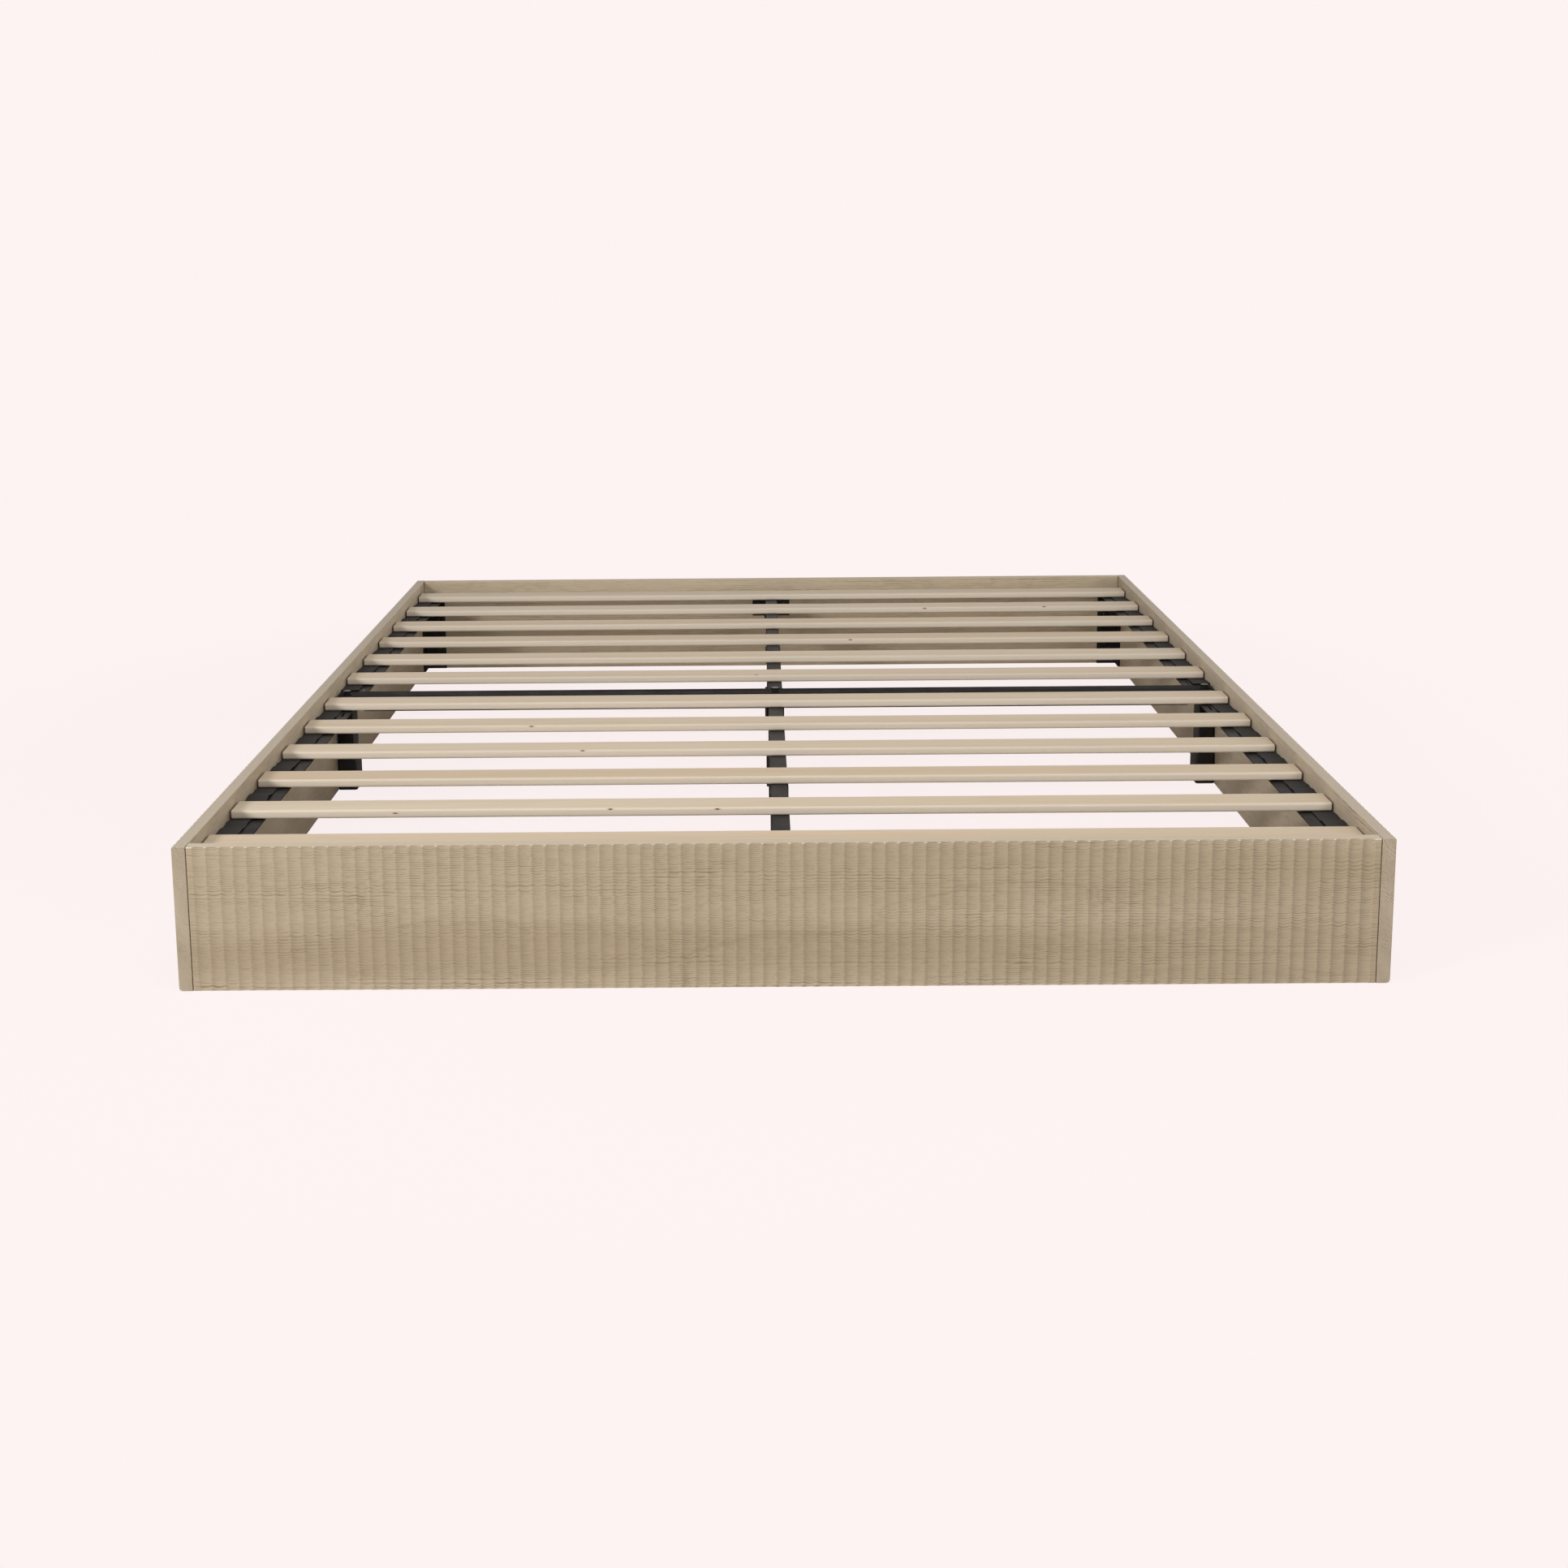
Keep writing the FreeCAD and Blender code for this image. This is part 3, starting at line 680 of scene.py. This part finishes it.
def rounded_section(width, height, radius, steps):
    """A rounded rectangle round the origin, anticlockwise."""
    points = []
    for corner, (sx, sy) in enumerate(((1, 1), (-1, 1), (-1, -1), (1, -1))):
        for step in range(steps + 1):
            angle = math.radians(90) * (corner + step / steps)
            points.append((sx * (width / 2 - radius) + radius * math.cos(angle),
                           sy * (height / 2 - radius) + radius * math.sin(angle)))
    return points


# %% The slat tree
def slat_tree():
    (tree, start, length, width, thickness, edge, ease, count, first, step, middle_height, cuts,
     seed) = new_tree("Slat roll", "Length", "Width", "Thickness", "Edge", "Ease", "Count", "First",
                      "Step", "Middle height", "Cuts", "Seed")

    # The path runs from end to end, with a few close steps at each end for the eased edge.
    half = length * 0.5
    inside, beyond = along_row(tree, cuts, END_STEPS)
    column = (inside * 2.0 / cuts - 1.0) * (half - ease) + beyond * ease
    lath = sweep(path_through(tree, cuts + (2 * END_STEPS + 1), column), to_curve(start))

    # Near its ends the section shrinks evenly, because sandpaper takes every end edge alike.
    x, y, z = position(tree)
    left = calc("MAXIMUM", 1.0 - (half - abs(x)) / ease, 0.0)
    taken = 1.0 - calc("SQRT", 1.0 - left * left)
    keep = 1.0 - taken * ease / edge

    def eased(value, size):
        core = size * 0.5 - edge
        held = clamp(value, core * -1.0, core)
        return (value - held) * keep + held

    shaped = move_to(lath, x, eased(y, width), eased(z, thickness))
    past_flat = abs(y) - (width * 0.5 - edge)
    # Where the section rounds off. This carries the painted highlight along the long edges.
    edged = store(shaped, "rounding", spread(past_flat, 0.15 * SLAT_EDGE, 0.6 * SLAT_EDGE))
    start_place = combine(0.0, first, middle_height)
    row = add(tree, "GeometryNodeMeshLine", {"Count": count, "Start Location": start_place,
        "Offset": combine(0.0, step)})
    tone = add(tree, "FunctionNodeRandomValue", {"Seed": seed}, out=1, data_type="FLOAT")
    return close_tree(store(copies(row, edged), "slat_tone", tone, "INSTANCE"))


slat_roll_tree = slat_tree()
print("slat tree:", len(slat_roll_tree.nodes), "nodes")


# %% Make the two rolls of slats
def mark_knots(piece, nodes, boxes):
    """Stores on each slat's points where its knots are, and a far place where it has none."""
    middles = [(low.y + high.y) / 2 for low, high in boxes]
    for number in range(KNOTS_PER_SLAT):
        layer = piece.data.attributes.new("knot_%d" % number, "FLOAT_VECTOR", "POINT")
        centres = []
        for node, (low, high) in zip(nodes, boxes):
            centre = Vector((0, 0, -1))
            for along, turned in KNOTS.get(node, [])[number:number + 1]:
                angle = math.radians(turned)
                y = low.y + SLAT_EDGE * (1 - math.sin(angle))
                centre = Vector((along, y, high.z - SLAT_EDGE * (1 - math.cos(angle))))
            centres.append(centre)
        for index, vertex in enumerate(piece.data.vertices):
            slat = min(range(len(nodes)), key=lambda i: abs(vertex.co.y - middles[i]))
            layer.data[index].vector = centres[slat]


def roll_of_slats(roll, seed):
    nodes = ["%s_slat_%d" % (roll, number + 1) for number in range(SLATS_PER_ROLL)]
    boxes = [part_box(node) for node in nodes]
    first, second = [(low + high) / 2 for low, high in boxes[:2]]
    size = boxes[0][1] - boxes[0][0]
    section = rounded_section(size.y, size.z, SLAT_EDGE, CORNER_STEPS)
    piece = run_tree(roll + "_slats", slat_roll_tree, outline_mesh(section), {
        "Length": size.x, "Width": size.y, "Thickness": size.z, "Edge": SLAT_EDGE,
        "Ease": SLAT_END_EASE, "Count": SLATS_PER_ROLL, "First": first.y, "Step": second.y - first.y,
        "Middle height": first.z, "Cuts": SLAT_CUTS, "Seed": seed, "Material": pine})
    mark_knots(piece, nodes, boxes)
    crease(piece, degrees=40)
    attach(piece, roll + "_slat_roll")
    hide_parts(*nodes)


for roll, seed in ROLL_SEEDS.items():
    roll_of_slats(roll, seed)


# %% [markdown]
# ## Webbing
# Each roll's slats are joined by a strip of webbing near each end, stapled to their undersides. It
# lies flat on the rail's flange, and between two slats it rises in a small loose fold, because the
# slats are rolled up for packing.

# %% The webbing tree
FOLD_HEIGHT = 2.8 * MM
CREASE_HEIGHT = 7.0 * MM         # how much the sharp noise can lift or lower the fold in all
RIB_HEIGHT = 0.12 * MM
HELD_FLAT = 6 * MM               # what stays flat beyond a slat's two edges together
STRIP_CUTS = 1800


def webbing_tree():
    (tree, start, length, begin, middle, bottom, step, first, slat_width, fold,
     cuts) = new_tree("Webbing strip", "Length", "Start", "Middle", "Bottom", "Step", "First",
                      "Slat width", "Fold", "Cuts")
    line = add(tree, "GeometryNodeCurvePrimitiveLine", {"End": combine(length)})
    path = add(tree, "GeometryNodeResampleCurve", {"Curve": line, "Count": cuts})
    strip = sweep(path, to_curve(start))
    x, y, z = position(tree)
    run = x + begin
    between = abs((run - first) % step - step * 0.5)
    free = step - slat_width - HELD_FLAT
    share = 1.0 - calc("MINIMUM", between / (free * 0.5), 1.0)
    hump = calc("SMOOTH_MAX", share, 0.0, 0.2) * fold
    spot = combine(run, middle)
    uneven = noise(spot, 9.0, 1.0) * 1.6
    creased = (noise(spot, 40.0, 1.0) - 0.5) * calc("MINIMUM", share * 4.0, 1.0) * CREASE_HEIGHT
    rise = calc("MAXIMUM", hump * uneven + creased, 0.0) + wave(run, RIB) * RIB_HEIGHT
    return close_tree(move_to(strip, middle - y, run, z + bottom + rise))


webbing_strip_tree = webbing_tree()
print("webbing tree:", len(webbing_strip_tree.nodes), "nodes")


# %% Make the four strips
def webbing(roll, side):
    node = "%s_%s_webbing" % (roll, side)
    low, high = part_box(node)
    slat_low, slat_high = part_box(roll + "_slat_1")
    next_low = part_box(roll + "_slat_2")[0]
    thickness = high.z - low.z
    section = rounded_section(high.x - low.x, 0.75 * thickness, 0.35 * thickness, 3)
    piece = run_tree(node + "_woven", webbing_strip_tree, outline_mesh(section), {
        "Length": high.y - low.y, "Start": low.y, "Middle": (low.x + high.x) / 2,
        "Bottom": low.z + 0.5 * thickness, "Step": next_low.y - slat_low.y,
        "First": (slat_low.y + slat_high.y) / 2, "Slat width": slat_high.y - slat_low.y,
        "Fold": FOLD_HEIGHT, "Cuts": STRIP_CUTS, "Material": webbing_cloth})
    crease(piece, degrees=50)
    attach(piece, roll + "_slat_roll")
    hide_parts(node)


for roll in ROLL_SEEDS:
    for side in ("left", "right"):
        webbing(roll, side)


# %% [markdown]
# ## Steel, boots and bolts
# Bent and welded steel has no knife edges: the coating rounds them, and each one catches a thin line
# of light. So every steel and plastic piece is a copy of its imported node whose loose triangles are
# merged to whole faces, and whose edges then get a narrow bevel.

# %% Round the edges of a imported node
SAME_POINT = 0.002 * MM


def welded(node):
    """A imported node's mesh with its double points merged."""
    mesh = bmesh.new()
    mesh.from_mesh(frame["nodes"][node].data)
    bmesh.ops.remove_doubles(mesh, verts=mesh.verts, dist=SAME_POINT)
    return mesh


def eased_copy(node, width, material):
    mesh = welded(node)
    bmesh.ops.dissolve_limit(mesh, angle_limit=math.radians(1), verts=mesh.verts, edges=mesh.edges)
    sharp = [edge for edge in mesh.edges if len(edge.link_faces) == 2
             and edge.calc_face_angle(0) > math.radians(25)]
    bmesh.ops.bevel(mesh, geom=sharp, offset=width, offset_type="OFFSET", segments=2,
                    profile=0.5, affect="EDGES", clamp_overlap=True)
    data = bpy.data.meshes.new(node + "_eased")
    mesh.to_mesh(data)
    mesh.free()
    piece = new_object(node + "_eased", data)
    data.materials.append(material)
    crease(piece, degrees=35)
    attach(piece, frame["nodes"][node]["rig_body"])
    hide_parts(node)


# %% Ease the frame
EASING = {"_slat_rail": 0.5, "_post": 0.5, "_socket": 0.4, "cross_bar": 0.45, "_centre_rail": 0.6,
          "_leg": 0.6, "_shoe": 0.6, "_boot": 0.8}       # in mm
SLOT_FINISH = {"black_steel": powder_coat, "black_bolts": black_oxide, "zinc_steel": zinc_plate,
               "boot_plastic": moulded_plastic}
slot_of = {part["node"]: part["material_slot"] for part in frame["record"]["subparts"]}
for node in sorted(frame["nodes"]):
    widths = [width for ending, width in EASING.items() if node.endswith(ending)]
    if widths and slot_of[node] in SLOT_FINISH:
        # The cross bar takes the matt copy, whose darker colour is painted shade.
        finish = matt_shaded_coat if node == "cross_bar" else SLOT_FINISH[slot_of[node]]
        eased_copy(node, widths[-1] * MM, finish)


# %% [markdown]
# ## Bolts, washers and staples
# A forged hex head has flat sides, and a 30 degree cone takes the corners off its top. The tree sweeps a
# plain circle along the bolt and then sets every ring's radius: a flat disc, the cone, the hexagon
# and then the thread, whose crest climbs once round for each pitch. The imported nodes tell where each
# bolt sits and which way it points, and the tree puts a copy there.

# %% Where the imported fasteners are
NEAR = 0.3 * MM


def islands(node):
    """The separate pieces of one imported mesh, each as a list of points."""
    mesh = welded(node)
    waiting, found = set(mesh.verts), []
    while waiting:
        reached = [waiting.pop()]
        for vertex in reached:
            for edge in vertex.link_edges:
                other = edge.other_vert(vertex)
                if other in waiting:
                    waiting.discard(other)
                    reached.append(other)
        found.append([vertex.co.copy() for vertex in reached])
    mesh.free()
    return sorted(found, key=lambda points: tuple(round(value, 4) for value in points_box(points)[0]))


def points_box(points):
    return tuple(Vector([end(point[i] for point in points) for i in range(3)]) for end in (min, max))


def measure_bolt(points):
    """The middle of a bolt's head face, its direction towards the tip, and its sizes."""
    low, high = points_box(points)
    size, middle = high - low, (low + high) / 2
    axis = max(range(3), key=lambda i: size[i])
    others = [i for i in range(3) if i != axis]

    def off_axis(point):
        return math.hypot(*(point[i] - middle[i] for i in others))

    def points_at(level):
        return [point for point in points if abs(point[axis] - level) < NEAR]

    def width_at(level):
        return max(off_axis(point) for point in points_at(level))

    head_is_low = width_at(low[axis]) > width_at(high[axis])
    head, tip = (low[axis], high[axis]) if head_is_low else (high[axis], low[axis])
    place, way = middle.copy(), Vector((0, 0, 0))
    place[axis] = head
    way[axis] = 1.0 if head_is_low else -1.0
    flats = min(size[i] for i in others)
    end_low, end_high = points_box(points_at(tip))
    on_head = [abs(point[axis] - head) for point in points if off_axis(point) > 0.48 * flats]
    return {"place": place, "way": way, "Flats": flats, "Head": max(on_head), "Length": abs(tip - head),
            "Shank": min((end_high - end_low)[i] for i in others)}


# %% The bolt tree
RINGS_PER_PITCH = 4
HEAD_RINGS = 6                   # the rings before the thread
END_RINGS = 3
HEX_SIDE = math.radians(60)
HEX_CHAMFER = math.radians(30)
THREAD_DEPTH = 0.55              # as a share of the pitch
HEAD_DISC = 0.94                 # the flat disc on top, as a share of the width over the flats
HEAD_EASE = 0.05                 # the rounding under the head, as a share of its height
BOLT_SIDES = 36


def pick(number, values):
    """Chooses one of the values by a whole number that starts at 0."""
    switch = number.tree.nodes.new("GeometryNodeIndexSwitch")
    switch.data_type = "FLOAT"
    while len(switch.index_switch_items) < len(values):
        switch.index_switch_items.new()
    for socket, value in zip(switch.inputs, (number, *values)):
        if isinstance(value, Value):
            number.tree.links.new(value.socket, socket)
        else:
            socket.default_value = value
    return Value(switch.outputs[0])


def copies_along(points, shape):
    """Puts a copy of the shape, which points along X, on each point and turns it to the point's way."""
    way = add(points.tree, "GeometryNodeInputNamedAttribute", {"Name": "way"}, data_type="FLOAT_VECTOR")
    turned = add(points.tree, "FunctionNodeAlignRotationToVector", {"Vector": way}, axis="X")
    return copies(points, shape, Rotation=turned)


def bolt_tree():
    tree, start, flats, head, length, shank, thread_pitch, sides = new_tree(
        "Hex bolt", "Flats", "Head", "Length", "Shank", "Thread pitch", "Sides")
    thread_rings = calc("FLOOR", (length - head) / thread_pitch) * RINGS_PER_PITCH
    ring_count = thread_rings + (HEAD_RINGS + END_RINGS)
    line = add(tree, "GeometryNodeMeshLine", {"Count": ring_count, "Offset": (1, 0, 0)})
    circle = add(tree, "GeometryNodeCurvePrimitiveCircle", {"Resolution": sides, "Radius": 1.0})
    tube = sweep(to_curve(line), circle)
    x, y, z = position(tree)
    ring = calc("ROUND", x)
    angle = calc("ARCTAN2", z, y)
    off_flat = (angle + HEX_SIDE / 2) % HEX_SIDE - HEX_SIDE / 2
    half_flats = flats * 0.5
    hexagon = half_flats / calc("COSINE", off_flat)
    disc = half_flats * HEAD_DISC
    cone = (hexagon - disc) * math.tan(HEX_CHAMFER)
    ease = head * HEAD_EASE
    half_shank = shank * 0.5

    # The thread: four rings to a pitch, and the crest moves round as it goes along.
    turn_number = (ring - HEAD_RINGS) / RINGS_PER_PITCH
    phase = calc("FRACT", turn_number + angle / (2 * math.pi))
    deep = thread_pitch * THREAD_DEPTH
    thread = half_shank - abs(phase * 2.0 - 1.0) * deep
    past_thread = calc("GREATER_THAN", ring, thread_rings + (HEAD_RINGS + 0.5))

    def ending(before, after):
        return add(tree, "ShaderNodeMix", {"Factor": past_thread, "A": before, "B": after}, out="Result")

    along = ending(turn_number * thread_pitch + head, length)
    which = calc("MINIMUM", ring, HEAD_RINGS)
    end_radius = ending(thread, half_shank - deep)
    radius = pick(which, [disc * 0.6, disc, hexagon, hexagon, hexagon - ease, half_shank, end_radius])
    place = pick(which, [0.0, 0.0, cone, head - ease, head, head, calc("MINIMUM", along, length)])
    return close_tree(copies_along(start, move_to(tube, place, y * radius, z * radius)))


hex_bolt_tree = bolt_tree()
print("bolt tree:", len(hex_bolt_tree.nodes), "nodes")


# %% Make the bolts
COARSE_M6 = 1.0 * MM
COARSE_M8 = 1.25 * MM
THREAD_PITCH = {"corner_bolts": COARSE_M6, "rail_bolts": COARSE_M6, "socket_bolts": COARSE_M6,
                "cross_bar_end_bolts": COARSE_M8, "centre_bolt": COARSE_M8}


def marked_points(places, ways):
    """A mesh of loose points, each with the way its fastener points."""
    mesh = bpy.data.meshes.new("places")
    mesh.from_pydata([tuple(place) for place in places], [], [])
    layer = mesh.attributes.new("way", "FLOAT_VECTOR", "POINT")
    for item, way in zip(layer.data, ways):
        item.vector = way
    return mesh


def bolts(node, thread_pitch):
    measured = [measure_bolt(points) for points in islands(node)]
    sizes = {name: measured[0][name] for name in ("Flats", "Head", "Length", "Shank")}
    start = marked_points([bolt["place"] for bolt in measured], [bolt["way"] for bolt in measured])
    piece = run_tree(node + "_threaded", hex_bolt_tree, start, {
        **sizes, "Thread pitch": thread_pitch, "Sides": BOLT_SIDES, "Material": black_oxide})
    crease(piece, degrees=22)
    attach(piece, "frame")
    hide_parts(node)
    print(len(measured), "bolts", {name: round(value / MM, 2) for name, value in sizes.items()})


for node, thread_pitch in THREAD_PITCH.items():
    bolts(node, thread_pitch)


# %% [markdown]
# A washer is punched from sheet, so its edges are slightly rounded. A staple is bent from flat wire:
# its crown lies under the webbing, and its two legs go up through it into the slat.

# %% The washer and staple trees
WASHER = {"Outer": 16 * MM, "Hole": 8.4 * MM, "Sides": 64}
WASHER_EASE = 0.25 * MM
STAPLE = {"Crown": 10 * MM, "Leg": 7 * MM, "Wire width": 1.2 * MM, "Wire height": 0.5 * MM}
STAPLE_BEND = 0.7 * MM
STAPLE_GAP = 11 * MM             # from the slat's middle line to each staple


def rectangle(tree, width, height):
    return add(tree, "GeometryNodeCurvePrimitiveQuadrilateral", {"Width": width, "Height": height})


def rounded(curve, steps, radius):
    return add(curve.tree, "GeometryNodeFilletCurve", {"Curve": curve, "Count": steps, "Radius": radius},
               mode="POLY")


def washer_tree():
    tree, start, thickness, outer, hole, sides = new_tree("Washer", "Thickness", *WASHER)
    radius = (outer + hole) * 0.25
    ring = add(tree, "GeometryNodeCurvePrimitiveCircle", {"Resolution": sides, "Radius": radius})
    section = rounded(rectangle(tree, (outer - hole) * 0.5, thickness), 3, WASHER_EASE)
    lying = {"Geometry": sweep(ring, section, caps=False), "Rotation": (0, math.radians(90), 0)}
    return close_tree(copies_along(start, add(tree, "GeometryNodeTransform", lying)))


def staple_tree():
    tree, start, crown, leg, wire_width, wire_height = new_tree("Staples", *STAPLE)
    left, right = crown * -0.5, crown * 0.5
    number = add(tree, "GeometryNodeInputIndex")
    path = path_through(tree, 4, pick(number, [left, left, right, right]), pick(number, [leg, 0.0, 0.0, leg]))
    wire = rectangle(tree, wire_width, wire_height)
    return close_tree(copies(start, sweep(rounded(path, 4, STAPLE_BEND), wire)))


# %% Make the washers and the staples
def washers(node):
    boxes = [points_box(points) for points in islands(node)]
    low, high = boxes[0]
    start = marked_points([(low + high) / 2 for low, high in boxes], [Vector((0, 0, 1))] * len(boxes))
    piece = run_tree(node + "_punched", washer_tree(), start, {
        **WASHER, "Thickness": high.z - low.z, "Material": black_oxide})
    crease(piece, degrees=35)
    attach(piece, "frame")
    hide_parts(node)
    print(len(boxes), "washers", [round(value / MM, 2) for value in high - low])


def staples(roll, tree):
    places = []
    for side in ("left", "right"):
        strap_low, strap_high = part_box("%s_%s_webbing" % (roll, side))
        x, z = (strap_low.x + strap_high.x) / 2, strap_low.z + STAPLE["Wire height"] / 2
        for number in range(SLATS_PER_ROLL):
            low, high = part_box("%s_slat_%d" % (roll, number + 1))
            places += [(x, (low.y + high.y) / 2 + gap, z) for gap in (-STAPLE_GAP, STAPLE_GAP)]
    piece = run_tree(roll + "_staples", tree, marked_points(places, []), {**STAPLE, "Material": zinc_plate})
    crease(piece, degrees=30)
    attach(piece, roll + "_slat_roll")
    print(len(places), "staples")


washers("cross_bar_washers")
all_staples_tree = staple_tree()
for roll in ROLL_SEEDS:
    staples(roll, all_staples_tree)

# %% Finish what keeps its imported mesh
for name, node in frame["nodes"].items():
    if slot_of[name] in SLOT_FINISH and not node.hide_render:
        for place in node.material_slots:
            place.material = SLOT_FINISH[slot_of[name]]


# %% [markdown]
# ## Light and floor
# The photograph has soft light from the left and from above the camera, on a plain pale ground. Large
# lamps give soft shadows. The floor shows the ground's colour to the camera and keeps a faint
# shadow under the bed, and further out it turns into the ground's own flat colour.

# %% Lamps
# Name, place, what it points at, size, power in watts, and whether shiny faces show it
LAMPS = (("key", (-3.0, -3.6, 2.0), (0, -0.8, 0.1), 0.9, 114, True),
         ("fill", (1.6, -3.6, 1.5), (0.3, -0.5, 0.1), 0.9, 30, True),
         ("top", (0, -1.7, 3.0), (0, -0.9, 0), 2.0, 34, True),
         ("rear", (2.4, 4.4, 0.6), (0, 0, 0.1), 1.0, 55, False),
         ("right", (3.2, 0.5, 0.5), (0, 0.1, 0.1), 1.0, 42, False),
         ("left", (-3.2, 0.5, 0.5), (0, 0.1, 0.1), 1.0, 14, False))

for name, place, target, size, power, shines in LAMPS:
    light = bpy.data.lights.new(name, "AREA")
    light.shape = "DISK"
    light.size = size
    light.energy = power
    holder = new_object(name, light)
    holder.location = place
    holder.rotation_euler = (Vector(target) - Vector(place)).to_track_quat("-Z", "Y").to_euler()
    holder.visible_glossy = shines
print(len(LAMPS), "lamps")


# %% Ground and floor
GROUND = "#fdf3f2"
AMBIENT = 0.27                   # the plain light from all round
FLOOR_GREY = "#a5a09d"           # what the floor round the bed throws back on to it
FLOOR_PALE = "#efeae7"           # and what the floor under the slats does
FLOOR_HALF = 40.0
FLOOR_DROP = 0.5 * MM            # so that no foot lies in the same plane as the floor
SHADOW_SHARE = 0.07              # how much of the floor's own shading the camera sees near the bed
SHADOW_REACH = (1.3, 2.0)        # where that share starts to fade, and where it is gone


def join(surface_node, below, above, share):
    """Mixes two surfaces and makes the result the material's or the world's."""
    both = add(share.tree, "ShaderNodeMixShader", {0: share, 1: below, 2: above})
    connect(surface_node, Surface=both)


def ground_world():
    """The ground's flat colour where it is seen or mirrored, and a plain soft light otherwise."""
    world = bpy.data.worlds.new("ground")
    bpy.context.scene.world = world
    world.use_nodes = True
    tree = world.node_tree
    kinds = ("Is Camera Ray", "Is Glossy Ray", "Is Transmission Ray")
    camera_ray, glossy, clear = add(tree, "ShaderNodeLightPath", out=kinds)
    seen = calc("MAXIMUM", camera_ray, calc("MAXIMUM", glossy, clear))
    plain = add(tree, "ShaderNodeBackground", {"Color": paint(GROUND), "Strength": 1.0})
    soft = add(tree, "ShaderNodeBackground", {"Color": (1.0, 1.0, 1.0, 1.0), "Strength": AMBIENT})
    join(tree.nodes["World Output"], soft, plain, seen)


def floor_finish():
    material = bpy.data.materials.new("pale_floor")
    material.use_nodes = True
    tree = material.node_tree
    tree.nodes.remove(tree.nodes["Principled BSDF"])
    seen = add(tree, "ShaderNodeLightPath", out="Is Camera Ray")
    place = object_place(tree)
    within = [calc("LESS_THAN", abs(value), edge) for value, edge in zip(split(place), box_high)]
    thrown = tint(within[0] * within[1], FLOOR_GREY, FLOOR_PALE)
    lit = add(tree, "ShaderNodeBsdfDiffuse", {"Color": tint(seen, thrown, GROUND)})
    flat = add(tree, "ShaderNodeEmission", {"Color": paint(GROUND), "Strength": 1.0})
    reach = add(tree, "ShaderNodeVectorMath", {0: place}, out="Value", operation="LENGTH")
    join(tree.nodes["Material Output"], lit, flat, seen * spread(reach, *SHADOW_REACH, 1 - SHADOW_SHARE, 1.0))
    return material


ground_world()
floor_mesh = bpy.data.meshes.new("floor")
corners = [(x * FLOOR_HALF, y * FLOOR_HALF, 0) for x, y in ((-1, -1), (1, -1), (1, 1), (-1, 1))]
floor_mesh.from_pydata(corners, [], [(0, 1, 2, 3)])
floor = new_object("floor", floor_mesh)
floor.location.z = -FLOOR_DROP
floor_mesh.materials.append(floor_finish())
bpy.context.scene.view_settings.view_transform = "Standard"
print("floor:", FLOOR_HALF * 2, "m wide")
